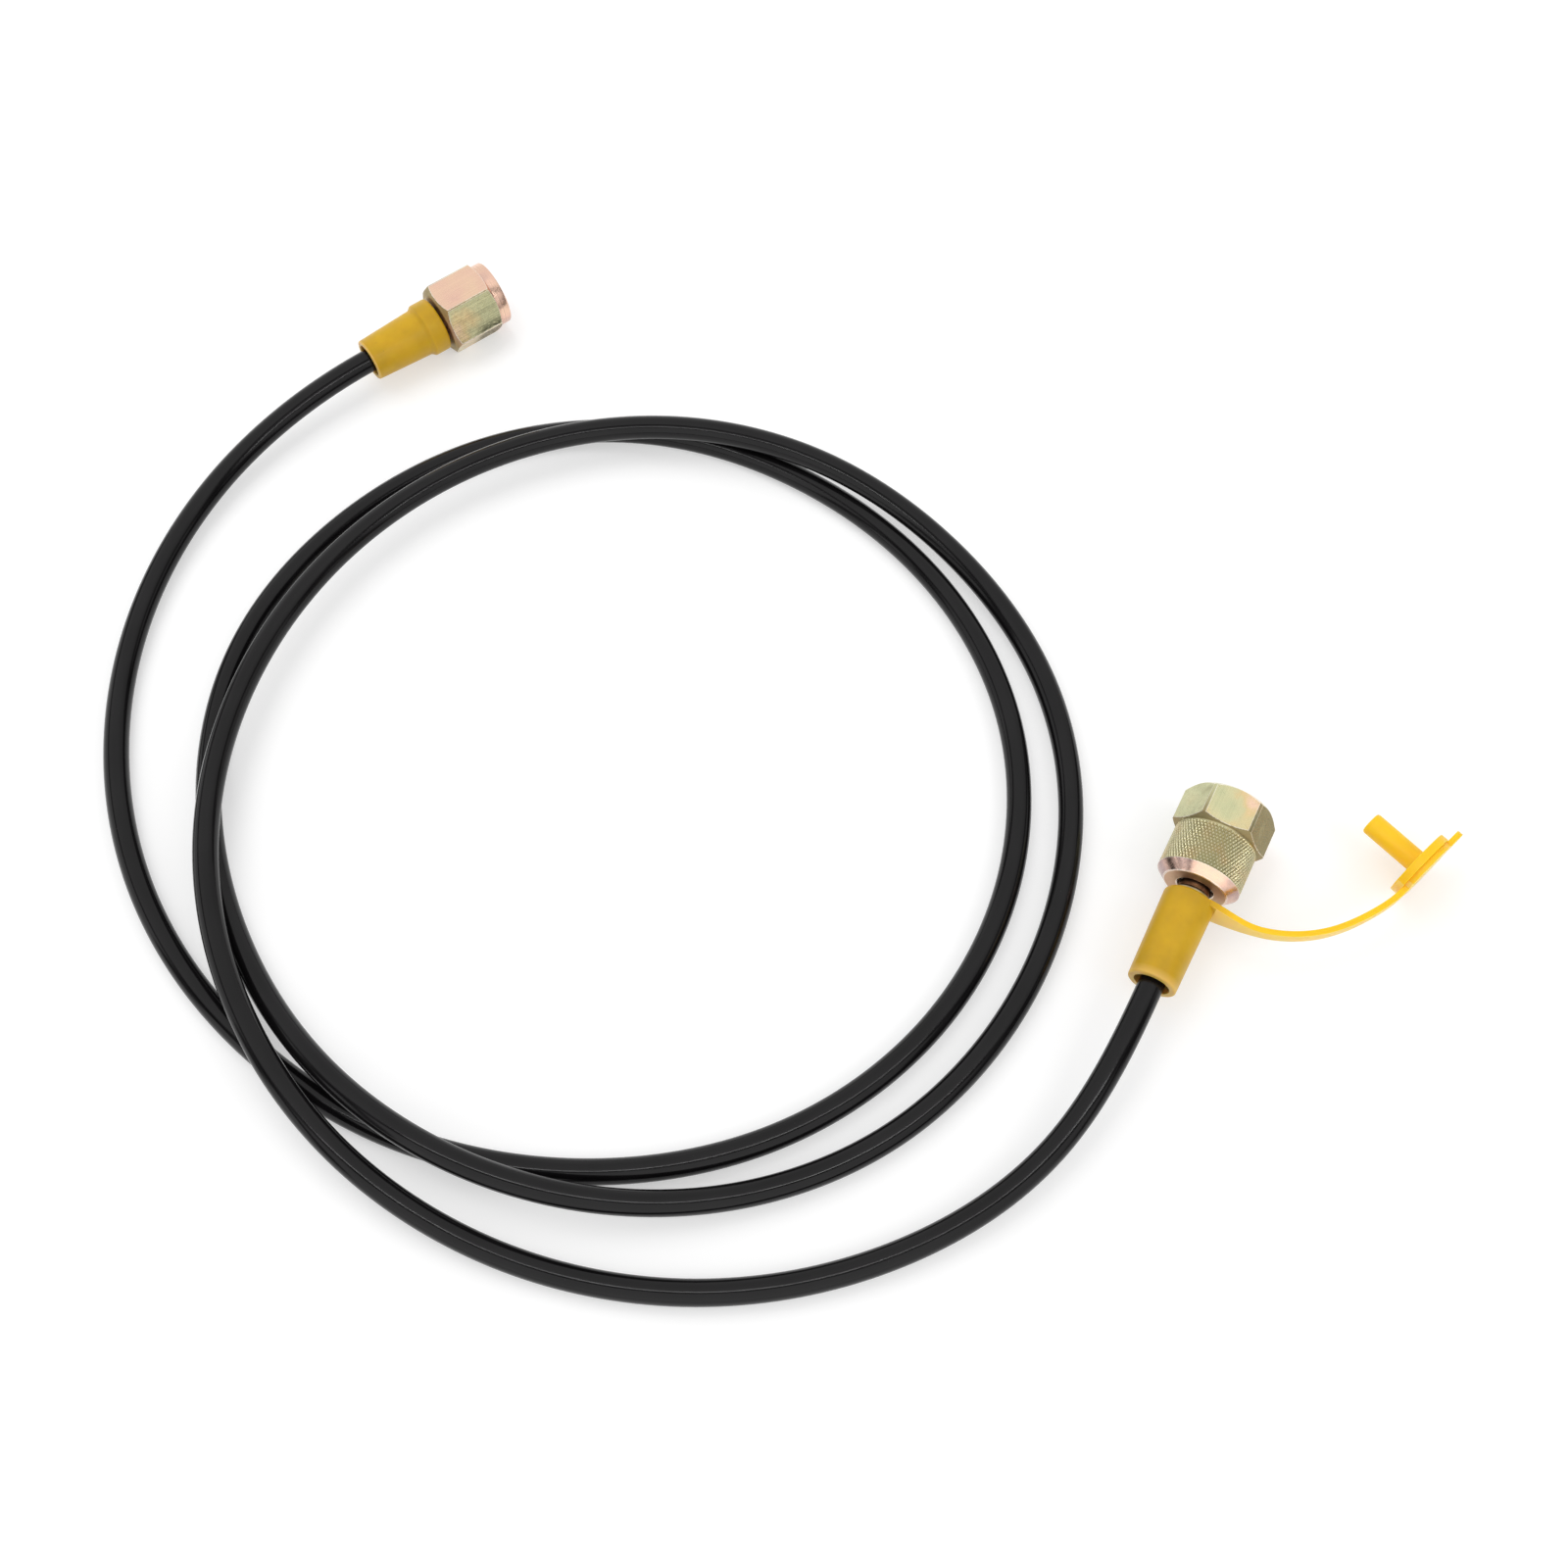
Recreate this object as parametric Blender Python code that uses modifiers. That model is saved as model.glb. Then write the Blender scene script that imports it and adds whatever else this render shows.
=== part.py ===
"""Hydraulic gauge hose: a microbore test hose laid in loose turns on a flat surface.

One end carries a swivel nut for a pressure gauge. The other carries a knurled coupling nut for a
test point, and its moulded bend sleeve has a strap with a dust plug in one piece with it.

Metres, +Z up. The origin is under the middle of the two fittings, on the surface they lie on.
Each fitting is modelled along its own axis: local +Z runs from the hose to the mouth, local +X
points to the left of that direction and local +Y points up.
"""
import math

import bmesh
import bpy
import numpy as np
from mathutils import Matrix, Vector

# Fits shared by both ends
GAP = 0.0003              # clearance between pieces that touch
SMALL = 0.00005           # how far a joined piece reaches into its neighbour's face
TURNED_STEPS = 48         # facets round a piece that shows
INNER_STEPS = 24          # facets round a piece inside
MERGE = 0.00001
SMOOTH_DEG = 35
EDGE = 0.0003             # broken edge
CHAMFER_DEG = 30          # chamfers of the hexagons
HEX_SPARE = 0.0020        # how far a cutting tool stands past the work
HEAD_CLEARANCE = 0.0004   # between a stem's head and the thread round it

# Hose: 3 mm bore polyamide test hose
HOSE_DIAMETER = 0.0060
HOSE_BORE = 0.0033
HOSE_POINTS = 80          # points on the tube's centre line

# Hose tail, the same at both ends
NECK_RADIUS = 0.00375     # plain journal that the nut turns on
STEM_BORE_RADIUS = 0.0007
TAIL_GROOVE_RADIUS = 0.0023
TAIL_COLLAR_RADIUS = 0.0030
TAIL_COLLAR_LENGTH = 0.0012
BARB_RADIUS = 0.00135
BARB_ROOT_RADIUS = 0.00112
BARB_COUNT = 4
BARB_PITCH = 0.0024
FERRULE_FRONT = -0.0015   # ferrule's front face, measured from the nut's rear face
FERRULE_WALL = 0.0012
FERRULE_LENGTH = 0.0150
TAIL_COLLAR_TOP = FERRULE_FRONT - FERRULE_WALL - GAP
HOSE_END = TAIL_COLLAR_TOP - TAIL_COLLAR_LENGTH - GAP
TAIL_TIP = HOSE_END + GAP - BARB_PITCH * (BARB_COUNT + 1)

# Retaining wire, a sprung ring shared by a groove in the nut and a wider one in the stem
WIRE_DIAMETER = 0.0016
WIRE_RING_RADIUS = 0.0042
WIRE_OPENING_DEG = 32.0
WIRE_RING_POINTS = 25
NUT_PLAY = 0.0010         # how far a nut slides along its stem

# Gauge end: swivel nut, 17.5 mm across flats
GAUGE_AXIS_XY = (-0.1156, 0.08493)
GAUGE_HEADING_DEG = 36.2
GAUGE_FLATS = 0.0175
GAUGE_REAR_RADIUS = 0.0080
GAUGE_CORNER_RADIUS = 0.0100
GAUGE_HEX_END = 0.0135    # where the corners end at the front
GAUGE_COLLAR_RADIUS = 0.0085
GAUGE_NUT_LENGTH = 0.0173
GAUGE_THREAD_RADIUS = 0.0058
GAUGE_REAR_WALL = 0.0044
GAUGE_REAR_BORE_RADIUS = 0.00415
GAUGE_WIRE_PLACE = 0.0022
GAUGE_HEAD_LENGTH = 0.0015
GAUGE_SPIGOT_RADIUS = 0.0024
GAUGE_SEAL_THICKNESS = 0.0015
GAUGE_SEAL_RADIUS = 0.0053
MOUTH_CHAMFER = 0.0008

# Gauge end: bend sleeve with a flared collar
GAUGE_SLEEVE_FRONT = -0.0007
GAUGE_SLEEVE_LENGTH = 0.0210
GAUGE_SLEEVE_COLLAR_RADIUS = 0.00715
GAUGE_SLEEVE_COLLAR_LENGTH = 0.0040
GAUGE_SLEEVE_SHOULDER_RADIUS = 0.0063
GAUGE_SLEEVE_MOUTH_RADIUS = 0.0055
GAUGE_SLEEVE_ROUND_DEG = 70    # how far the collar's rear edge is rounded
GAUGE_SLEEVE_FILLET = 0.0014   # hollow from the collar's rear edge to the shoulder

# Test end: coupling nut, 20 mm across flats with a knurled grip
TEST_AXIS_XY = (0.07245, -0.07617)
TEST_HEADING_DEG = 63.2
TEST_FLATS = 0.0200
TEST_CORNER_RADIUS = 0.0113
TEST_REAR_RADIUS = 0.0075
TEST_KNURL_START = 0.0022
TEST_KNURL_END = 0.0129
TEST_KNURL_RADIUS = 0.00993
TEST_RING_RADIUS = 0.0096
TEST_RING_LENGTH = 0.0005
TEST_NUT_LENGTH = 0.0232
TEST_MOUTH_RADIUS = 0.0099
TEST_MOUTH_DEG = 40        # chamfer of the hexagon at the mouth
TEST_THREAD_RADIUS = 0.0071
TEST_REAR_WALL = 0.0050
TEST_REAR_BORE_RADIUS = 0.0044
TEST_WIRE_PLACE = 0.0025
TEST_HEAD_RADIUS = 0.0065
TEST_HEAD_LENGTH = 0.0020
TEST_PROBE_RADIUS = 0.0052
TEST_PROBE_FRONT = 0.0166
TEST_SOCKET_RADIUS = 0.00295
TEST_SOCKET_DEPTH = 0.0085
O_RING_SECTION = 0.0014
O_RING_PROUD = 0.00025
O_RING_BACK = 0.0030      # from the probe's front face to the middle of the ring

# Test end: bend sleeve, strap and dust plug, one moulding
TEST_SLEEVE_FRONT = -0.0026
TEST_SLEEVE_LENGTH = 0.0234
TEST_SLEEVE_RADIUS = 0.00615
TEST_SLEEVE_MOUTH_RADIUS = 0.00575
SLEEVE_ROUNDING = 0.0010
SLEEVE_MOUTH_BORE_RADIUS = 0.00425
SLEEVE_BORE_RADIUS = HOSE_DIAMETER / 2 + GAP + FERRULE_WALL + GAP
SLEEVE_STEP = FERRULE_FRONT - FERRULE_LENGTH - GAP     # lip that stops the ferrule
SLEEVE_STEP_RAMP = 0.0005
STRAP_THICKNESS = 0.0014
STRAP_ROOT_WIDTH = 0.0110
STRAP_WIDTH = 0.0034
STRAP_TAPER_LENGTH = 0.0190
STRAP_TAB_WIDTH = 0.0050
STRAP_STEPS = 26
TAB_ROUND_DEG = (25, 45, 62, 76)   # places round the tab's tip
PLUG_RADIUS = 0.0085
PLATE_RADIUS = PLUG_RADIUS - 0.0007         # round end of the strap, which backs the plug
PLATE_ROUND_DEG = (-74, -58, -42, -26, -9, 9, 26, 42, 58, 74)
PLUG_THICKNESS = 0.0020
PIN_RADIUS = 0.00275
PIN_LENGTH = 0.0136
PIN_ROUNDING = 0.0007
PLUG_CENTRE = (0.0432, 0.0299)     # right of the axis, along it: middle of the plug's inner face
PLUG_FACING_DEG = 160.5            # the way the pin points, from right of the axis towards the mouth
TAB_LENGTH = 0.0045
# Middle line of the strap from its root to the plug: right of the axis, along it
STRAP_ROUTE = [(0.0030, -0.0034), (0.0102, -0.0036), (0.0154, -0.0034), (0.0208, -0.0021),
               (0.0260, 0.0003), (0.0307, 0.0036), (0.0350, 0.0080), (0.0385, 0.0127)]

# Route of the hose from the gauge end to the test end, as it lies in loose turns: x, y and height
HOSE_ROUTE = [
    (-0.1649, 0.0421, 0.0058), (-0.1826, 0.0039, 0.0037), (-0.1847, -0.0383, 0.0030),
    (-0.1715, -0.0786, 0.0030), (-0.1444, -0.1119, 0.0030), (-0.1073, -0.1340, 0.0030),
    (-0.0647, -0.1413, 0.0030), (-0.0231, -0.1329, 0.0030), (0.0109, -0.1083, 0.0030),
    (0.0309, -0.0707, 0.0030), (0.0321, -0.0283, 0.0030), (0.0144, 0.0105, 0.0030),
    (-0.0178, 0.0393, 0.0030), (-0.0579, 0.0537, 0.0030), (-0.0995, 0.0491, 0.0030),
    (-0.1354, 0.0255, 0.0030), (-0.1576, -0.0107, 0.0030), (-0.1604, -0.0526, 0.0030),
    (-0.1459, -0.0932, 0.0044), (-0.1180, -0.1258, 0.0092), (-0.0805, -0.1451, 0.0095),
    (-0.0381, -0.1476, 0.0046), (0.0016, -0.1330, 0.0030), (0.0309, -0.1025, 0.0030),
    (0.0454, -0.0620, 0.0030), (0.0417, -0.0198, 0.0032), (0.0194, 0.0166, 0.0058),
    (-0.0158, 0.0420, 0.0092), (-0.0572, 0.0511, 0.0095), (-0.0981, 0.0417, 0.0094),
    (-0.1320, 0.0158, 0.0093), (-0.1527, -0.0212, 0.0095), (-0.1577, -0.0633, 0.0096),
    (-0.1457, -0.1044, 0.0098), (-0.1193, -0.1384, 0.0081), (-0.0824, -0.1599, 0.0037),
    (-0.0404, -0.1671, 0.0030), (0.0012, -0.1593, 0.0033), (0.0369, -0.1366, 0.0060),
]

# Colours, roughness and metallic value of each material
ZINC_YELLOW = ((0.72, 0.56, 0.33), 0.34, 1.0)
ZINC_BROWN = ((0.28, 0.19, 0.12), 0.45, 1.0)
SPRING_STEEL = ((0.36, 0.35, 0.33), 0.35, 1.0)
YELLOW_MOULDING = ((0.66, 0.40, 0.03), 0.45, 0.0)
BLACK_HOSE = ((0.012, 0.012, 0.013), 0.38, 0.0)
SEAL_WHITE = ((0.62, 0.60, 0.55), 0.50, 0.0)
SEAL_BLACK = ((0.010, 0.010, 0.010), 0.60, 0.0)


def empty_scene():
    """Remove every object that the file opened with."""
    for thing in list(bpy.data.objects):
        bpy.data.objects.remove(thing, do_unlink=True)


def new_collection(name):
    """Make a collection in the scene and return it."""
    collection = bpy.data.collections.new(name)
    bpy.context.scene.collection.children.link(collection)
    return collection


def new_material(name, finish):
    """Make a Principled material from a colour, a roughness and a metallic value."""
    colour, roughness, metallic = finish
    material = bpy.data.materials.new(name)
    material.use_nodes = True
    shader = material.node_tree.nodes["Principled BSDF"]
    shader.inputs["Base Color"].default_value = (*colour, 1.0)
    shader.inputs["Roughness"].default_value = roughness
    shader.inputs["Metallic"].default_value = metallic
    return material


def add_object(name, data, collection, parent=None, finish=None):
    """Link an object to a collection, under a parent, with its own material."""
    thing = bpy.data.objects.new(name, data)
    collection.objects.link(thing)
    thing.parent = parent
    if finish is not None:
        data.materials.append(new_material(name, finish))
    return thing


def turned(name, outline, collection, parent, finish=None, steps=TURNED_STEPS, closed=True):
    """Turn a profile of (radius, height) points about local Z.

    The outer side runs from top to bottom. A closed outline comes back up its bore; an open one
    starts and ends on the axis.
    """
    mesh = bpy.data.meshes.new(name)
    shape = bmesh.new()
    points = [shape.verts.new((radius, 0.0, height)) for radius, height in outline]
    for first, second in zip(points, points[1:]):
        shape.edges.new((first, second))
    if closed:
        shape.edges.new((points[-1], points[0]))
    shape.to_mesh(mesh)
    shape.free()
    thing = add_object(name, mesh, collection, parent, finish)
    screw = thing.modifiers.new("Turn", "SCREW")
    screw.axis = "Z"
    screw.steps = steps
    screw.render_steps = steps
    screw.use_merge_vertices = True
    screw.merge_threshold = MERGE
    return thing


def hexagon(name, flats, length, parent, collection):
    """Make a hexagonal bar along local Z that stands a little past both ends of a nut."""
    mesh = bpy.data.meshes.new(name)
    shape = bmesh.new()
    corner = flats / math.sqrt(3)
    bmesh.ops.create_cone(shape, cap_ends=True, segments=6, radius1=corner, radius2=corner,
                          depth=length + 2 * HEX_SPARE)
    bmesh.ops.rotate(shape, verts=shape.verts, matrix=Matrix.Rotation(math.radians(30), 3, "Z"))
    bmesh.ops.translate(shape, verts=shape.verts, vec=(0, 0, length / 2))
    shape.to_mesh(mesh)
    shape.free()
    return add_object(name, mesh, collection, parent)


def boolean(thing, tool, operation):
    """Join, cut or intersect a mesh with another one, which then only guides it."""
    modifier = thing.modifiers.new(tool.name, "BOOLEAN")
    modifier.operation = operation
    modifier.solver = "EXACT"
    modifier.object = tool
    tool.display_type = "WIRE"
    tool.hide_render = True


def arc(centre_radius, centre_height, radius, start_deg, end_deg, count=5):
    """Points on an arc of a turned profile, with angles from the radial direction."""
    angles = np.radians(np.linspace(start_deg, end_deg, count))
    return [(centre_radius + radius * math.cos(angle), centre_height + radius * math.sin(angle))
            for angle in angles]


def cone_length(wide, narrow, angle_deg):
    """Length of a chamfer between two radii, from its angle to the end face."""
    return (wide - narrow) * math.tan(math.radians(angle_deg))


def smooth_line(points, start_direction, end_direction, count):
    """Evenly spaced points on a cubic spline that leaves and arrives along given directions."""
    knots = np.array(points, dtype=float)
    steps = np.linalg.norm(np.diff(knots, axis=0), axis=1)
    places = np.concatenate([[0.0], np.cumsum(steps)])
    slopes = np.diff(knots, axis=0) / steps[:, None]
    size = len(knots)
    matrix = np.zeros((size, size))
    right = np.zeros_like(knots)
    matrix[0, 0], matrix[0, 1] = 2 * steps[0], steps[0]
    matrix[-1, -1], matrix[-1, -2] = 2 * steps[-1], steps[-1]
    right[0] = 6 * (slopes[0] - np.array(start_direction))
    right[-1] = 6 * (np.array(end_direction) - slopes[-1])
    for row in range(1, size - 1):
        matrix[row, row - 1] = steps[row - 1]
        matrix[row, row] = 2 * (steps[row - 1] + steps[row])
        matrix[row, row + 1] = steps[row]
        right[row] = 6 * (slopes[row] - slopes[row - 1])
    bends = np.linalg.solve(matrix, right)
    line = []
    for place in np.linspace(0.0, places[-1], count):
        span = min(int(np.searchsorted(places, place, side="right")) - 1, size - 2)
        step = steps[span]
        ahead = (place - places[span]) / step
        behind = 1 - ahead
        curve = (behind ** 3 - behind) * bends[span] + (ahead ** 3 - ahead) * bends[span + 1]
        line.append(behind * knots[span] + ahead * knots[span + 1] + curve * step ** 2 / 6)
    return [tuple(point) for point in line]


def end_frame(name, place, height, heading_deg, collection):
    """Make the empty that carries a fitting: its Z runs along the fitting, its Y points up."""
    frame = add_object(name, None, collection)
    frame.location = (*place, height)
    frame.rotation_euler = (math.radians(90), 0, math.radians(heading_deg + 90))
    return frame


def direction_of(heading_deg):
    """The level direction of a heading."""
    heading = math.radians(heading_deg)
    return Vector((math.cos(heading), math.sin(heading), 0))


def nut_bore(rear_bore, rear_wall, wire_place, thread, length, mouth_chamfer):
    """Inner side of a nut, from its rear face up to the mouth, with the groove for its wire."""
    half_groove = WIRE_DIAMETER / 2 + GAP
    groove = WIRE_RING_RADIUS + WIRE_DIAMETER / 2 + GAP
    return [(rear_bore, 0), (rear_bore, wire_place - half_groove),
            (groove, wire_place - half_groove), (groove, wire_place + half_groove),
            (rear_bore, wire_place + half_groove), (rear_bore, rear_wall), (thread, rear_wall),
            (thread, length - mouth_chamfer)]


def stem_tail(groove_low, groove_high):
    """Outer side of a stem from its head's rear face down to the tip of its hose tail."""
    groove = WIRE_RING_RADIUS - WIRE_DIAMETER / 2 - GAP
    neck_end = FERRULE_FRONT + GAP
    outline = [(NECK_RADIUS, groove_high), (groove, groove_high), (groove, groove_low),
               (NECK_RADIUS, groove_low), (NECK_RADIUS, neck_end), (TAIL_GROOVE_RADIUS, neck_end),
               (TAIL_GROOVE_RADIUS, TAIL_COLLAR_TOP), (TAIL_COLLAR_RADIUS, TAIL_COLLAR_TOP),
               (TAIL_COLLAR_RADIUS, TAIL_COLLAR_TOP - TAIL_COLLAR_LENGTH)]
    crest = TAIL_COLLAR_TOP - TAIL_COLLAR_LENGTH - BARB_PITCH / 2
    outline.append((BARB_ROOT_RADIUS, crest + BARB_PITCH / 2))
    for _ in range(BARB_COUNT):
        outline += [(BARB_ROOT_RADIUS, crest), (BARB_RADIUS, crest - SMALL)]
        crest -= BARB_PITCH
        outline.append((BARB_ROOT_RADIUS, crest + SMALL))
    outline.append((STEM_BORE_RADIUS, TAIL_TIP))
    return outline


def build_ferrule(name, model, frame):
    """Crimp ferrule: a cup that grips the hose over the tail, hooked in the stem's groove."""
    back = FERRULE_FRONT - FERRULE_LENGTH
    inside = HOSE_DIAMETER / 2 + GAP
    hook = TAIL_GROOVE_RADIUS + GAP
    outside = inside + FERRULE_WALL
    edge = FERRULE_WALL / 3
    outline = [(outside - edge, FERRULE_FRONT), (outside, FERRULE_FRONT - edge),
               (outside, back + edge), (outside - edge, back), (inside, back),
               (inside, FERRULE_FRONT - FERRULE_WALL), (hook, FERRULE_FRONT - FERRULE_WALL),
               (hook, FERRULE_FRONT)]
    return turned(name, outline, model, frame, ZINC_BROWN, INNER_STEPS)


def build_wire(name, place, model, frame):
    """Sprung retaining ring, open at the top, that holds a nut on its stem."""
    curve = bpy.data.curves.new(name, "CURVE")
    curve.dimensions = "3D"
    curve.bevel_depth = WIRE_DIAMETER / 2
    curve.bevel_resolution = 2
    curve.use_fill_caps = True
    half = WIRE_OPENING_DEG / 2
    angles = np.radians(np.linspace(90 + half, 450 - half, WIRE_RING_POINTS))
    spline = curve.splines.new("POLY")
    spline.points.add(len(angles) - 1)
    for point, angle in zip(spline.points, angles):
        point.co = (WIRE_RING_RADIUS * math.cos(angle), WIRE_RING_RADIUS * math.sin(angle), place, 1)
    return add_object(name, curve, model, frame, SPRING_STEEL)


def build_gauge_nut(model, cutters, frame):
    """Swivel nut for the gauge: hexagon, chamfered behind, with a plain collar at the mouth."""
    collar, corner = GAUGE_COLLAR_RADIUS, GAUGE_CORNER_RADIUS
    rear_cone = cone_length(corner, GAUGE_REAR_RADIUS, CHAMFER_DEG)
    collar_start = GAUGE_HEX_END + cone_length(corner, collar, CHAMFER_DEG)
    outline = [(GAUGE_THREAD_RADIUS + MOUTH_CHAMFER, GAUGE_NUT_LENGTH),
               (collar - EDGE, GAUGE_NUT_LENGTH), (collar, GAUGE_NUT_LENGTH - EDGE),
               (collar, collar_start), (corner, GAUGE_HEX_END), (corner, rear_cone),
               (GAUGE_REAR_RADIUS, 0)]
    outline += nut_bore(GAUGE_REAR_BORE_RADIUS, GAUGE_REAR_WALL, GAUGE_WIRE_PLACE,
                        GAUGE_THREAD_RADIUS, GAUGE_NUT_LENGTH, MOUTH_CHAMFER)
    nut = turned("gauge_swivel_nut", outline, model, frame, ZINC_YELLOW)
    boolean(nut, hexagon("gauge_nut_flats", GAUGE_FLATS, GAUGE_NUT_LENGTH, frame, cutters),
            "INTERSECT")


def build_gauge_end(model, cutters):
    """Fitting for the pressure gauge, and the flared sleeve behind it."""
    frame = end_frame("gauge_end", GAUGE_AXIS_XY, GAUGE_FLATS / 2, GAUGE_HEADING_DEG, model)
    build_gauge_nut(model, cutters, frame)
    build_wire("gauge_nut_wire", GAUGE_WIRE_PLACE, model, frame)
    build_ferrule("gauge_ferrule", model, frame)

    half_groove = WIRE_DIAMETER / 2 + GAP
    head_back = GAUGE_REAR_WALL + NUT_PLAY + GAP
    head_front = head_back + GAUGE_HEAD_LENGTH
    head = GAUGE_THREAD_RADIUS - HEAD_CLEARANCE
    spigot_end = head_front + GAP + GAUGE_SEAL_THICKNESS - EDGE
    outline = [(GAUGE_SPIGOT_RADIUS, spigot_end), (GAUGE_SPIGOT_RADIUS, head_front),
               (head, head_front), (head, head_back), (NECK_RADIUS, head_back)]
    outline += stem_tail(GAUGE_WIRE_PLACE - half_groove, GAUGE_WIRE_PLACE + half_groove + NUT_PLAY)
    outline.append((STEM_BORE_RADIUS, spigot_end))
    turned("gauge_stem", outline, model, frame, ZINC_BROWN, INNER_STEPS)

    seal_back = head_front + GAP
    seal_front = seal_back + GAUGE_SEAL_THICKNESS
    outline = [(GAUGE_SEAL_RADIUS, seal_front), (GAUGE_SEAL_RADIUS, seal_back),
               (GAUGE_SPIGOT_RADIUS + GAP, seal_back), (GAUGE_SPIGOT_RADIUS + GAP, seal_front)]
    turned("gauge_seal_ring", outline, model, frame, SEAL_WHITE, INNER_STEPS)

    front = GAUGE_SLEEVE_FRONT
    mouth = front - GAUGE_SLEEVE_LENGTH
    collar = GAUGE_SLEEVE_COLLAR_RADIUS
    rounding = collar - GAUGE_SLEEVE_SHOULDER_RADIUS
    collar_back = front - GAUGE_SLEEVE_COLLAR_LENGTH
    bore, mouth_bore = SLEEVE_BORE_RADIUS, SLEEVE_MOUTH_BORE_RADIUS
    outline = [(collar - EDGE, front), (collar, front - EDGE)]
    outline += arc(collar - rounding, collar_back, rounding, 0, -GAUGE_SLEEVE_ROUND_DEG)
    outline += [(GAUGE_SLEEVE_SHOULDER_RADIUS, collar_back - GAUGE_SLEEVE_FILLET),
                (GAUGE_SLEEVE_MOUTH_RADIUS, mouth + EDGE), (GAUGE_SLEEVE_MOUTH_RADIUS - EDGE, mouth),
                (mouth_bore, mouth), (mouth_bore, SLEEVE_STEP - SLEEVE_STEP_RAMP),
                (bore, SLEEVE_STEP), (bore, front)]
    turned("gauge_bend_sleeve", outline, model, frame, YELLOW_MOULDING)


def build_test_nut(model, cutters, frame):
    """Coupling nut for the test point: knurled grip, then a hexagon at the mouth."""
    corner, ring = TEST_CORNER_RADIUS, TEST_RING_RADIUS
    hex_back = TEST_KNURL_END + TEST_RING_LENGTH
    mouth_cone = cone_length(corner, TEST_MOUTH_RADIUS, TEST_MOUTH_DEG)
    outline = [(TEST_THREAD_RADIUS + MOUTH_CHAMFER, TEST_NUT_LENGTH),
               (TEST_MOUTH_RADIUS, TEST_NUT_LENGTH), (corner, TEST_NUT_LENGTH - mouth_cone),
               (corner, hex_back + cone_length(corner, ring, CHAMFER_DEG)), (ring, hex_back),
               (ring, TEST_KNURL_END), (TEST_KNURL_RADIUS, TEST_KNURL_END - EDGE),
               (TEST_KNURL_RADIUS, TEST_KNURL_START), (TEST_REAR_RADIUS, 0)]
    outline += nut_bore(TEST_REAR_BORE_RADIUS, TEST_REAR_WALL, TEST_WIRE_PLACE,
                        TEST_THREAD_RADIUS, TEST_NUT_LENGTH, MOUTH_CHAMFER)
    nut = turned("test_coupling_nut", outline, model, frame, ZINC_YELLOW)
    boolean(nut, hexagon("test_nut_flats", TEST_FLATS, TEST_NUT_LENGTH, frame, cutters),
            "INTERSECT")


def build_test_stem(model, frame):
    """Stem of the test end, with its socketed probe and the O-ring round it."""
    half_groove = WIRE_DIAMETER / 2 + GAP
    head_back = TEST_REAR_WALL + GAP
    head_front = head_back + TEST_HEAD_LENGTH
    ring_place = TEST_PROBE_FRONT - O_RING_BACK
    ring_radius = TEST_PROBE_RADIUS - O_RING_SECTION / 2 + O_RING_PROUD
    groove = ring_radius - O_RING_SECTION / 2 - GAP
    half_ring = O_RING_SECTION / 2 + GAP
    probe = TEST_PROBE_RADIUS
    outline = [(probe - MOUTH_CHAMFER, TEST_PROBE_FRONT), (probe, TEST_PROBE_FRONT - MOUTH_CHAMFER),
               (probe, ring_place + half_ring), (groove, ring_place + half_ring),
               (groove, ring_place - half_ring), (probe, ring_place - half_ring),
               (probe, head_front), (TEST_HEAD_RADIUS, head_front), (TEST_HEAD_RADIUS, head_back),
               (NECK_RADIUS, head_back)]
    outline += stem_tail(TEST_WIRE_PLACE - half_groove - NUT_PLAY, TEST_WIRE_PLACE + half_groove)
    outline += [(STEM_BORE_RADIUS, TEST_PROBE_FRONT - TEST_SOCKET_DEPTH),
                (TEST_SOCKET_RADIUS, TEST_PROBE_FRONT - TEST_SOCKET_DEPTH),
                (TEST_SOCKET_RADIUS, TEST_PROBE_FRONT)]
    turned("test_stem", outline, model, frame, ZINC_BROWN, INNER_STEPS)
    ring = arc(ring_radius, ring_place, O_RING_SECTION / 2, 90, 90 - 360, 9)[:-1]
    turned("test_probe_o_ring", ring, model, frame, SEAL_BLACK, INNER_STEPS)


def strap_stations():
    """Middle line of the strap and its width, from inside the sleeve's rim to the pull tab."""
    facing = math.radians(PLUG_FACING_DEG)
    outward = np.array([math.cos(facing), math.sin(facing)])
    along = np.array([outward[1], -outward[0]])
    plate = np.array(PLUG_CENTRE) - outward * (PLUG_THICKNESS + STRAP_THICKNESS / 2)
    start = plate - along * PLUG_RADIUS
    line = smooth_line([*STRAP_ROUTE, tuple(start)], (1.0, 0.0), tuple(along), STRAP_STEPS)
    stations = []
    travelled = 0.0
    for place, last in zip(line, [line[0], *line[:-1]]):
        travelled += math.dist(place, last)
        taper = min(travelled / STRAP_TAPER_LENGTH, 1.0)
        ease = taper * taper * (3 - 2 * taper)
        stations.append((place, STRAP_ROOT_WIDTH + (STRAP_WIDTH - STRAP_ROOT_WIDTH) * ease))
    round_start = PLUG_RADIUS + TAB_LENGTH - STRAP_TAB_WIDTH / 2
    for angle in np.radians(PLATE_ROUND_DEG):
        reach = PLATE_RADIUS * math.sin(angle)
        stations.append((tuple(plate + along * reach), 2 * PLATE_RADIUS * math.cos(angle)))
    stations.append((tuple(plate + along * round_start), STRAP_TAB_WIDTH))
    for angle in np.radians(TAB_ROUND_DEG):
        reach = round_start + STRAP_TAB_WIDTH / 2 * math.sin(angle)
        stations.append((tuple(plate + along * reach), STRAP_TAB_WIDTH * math.cos(angle)))
    return stations


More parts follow.
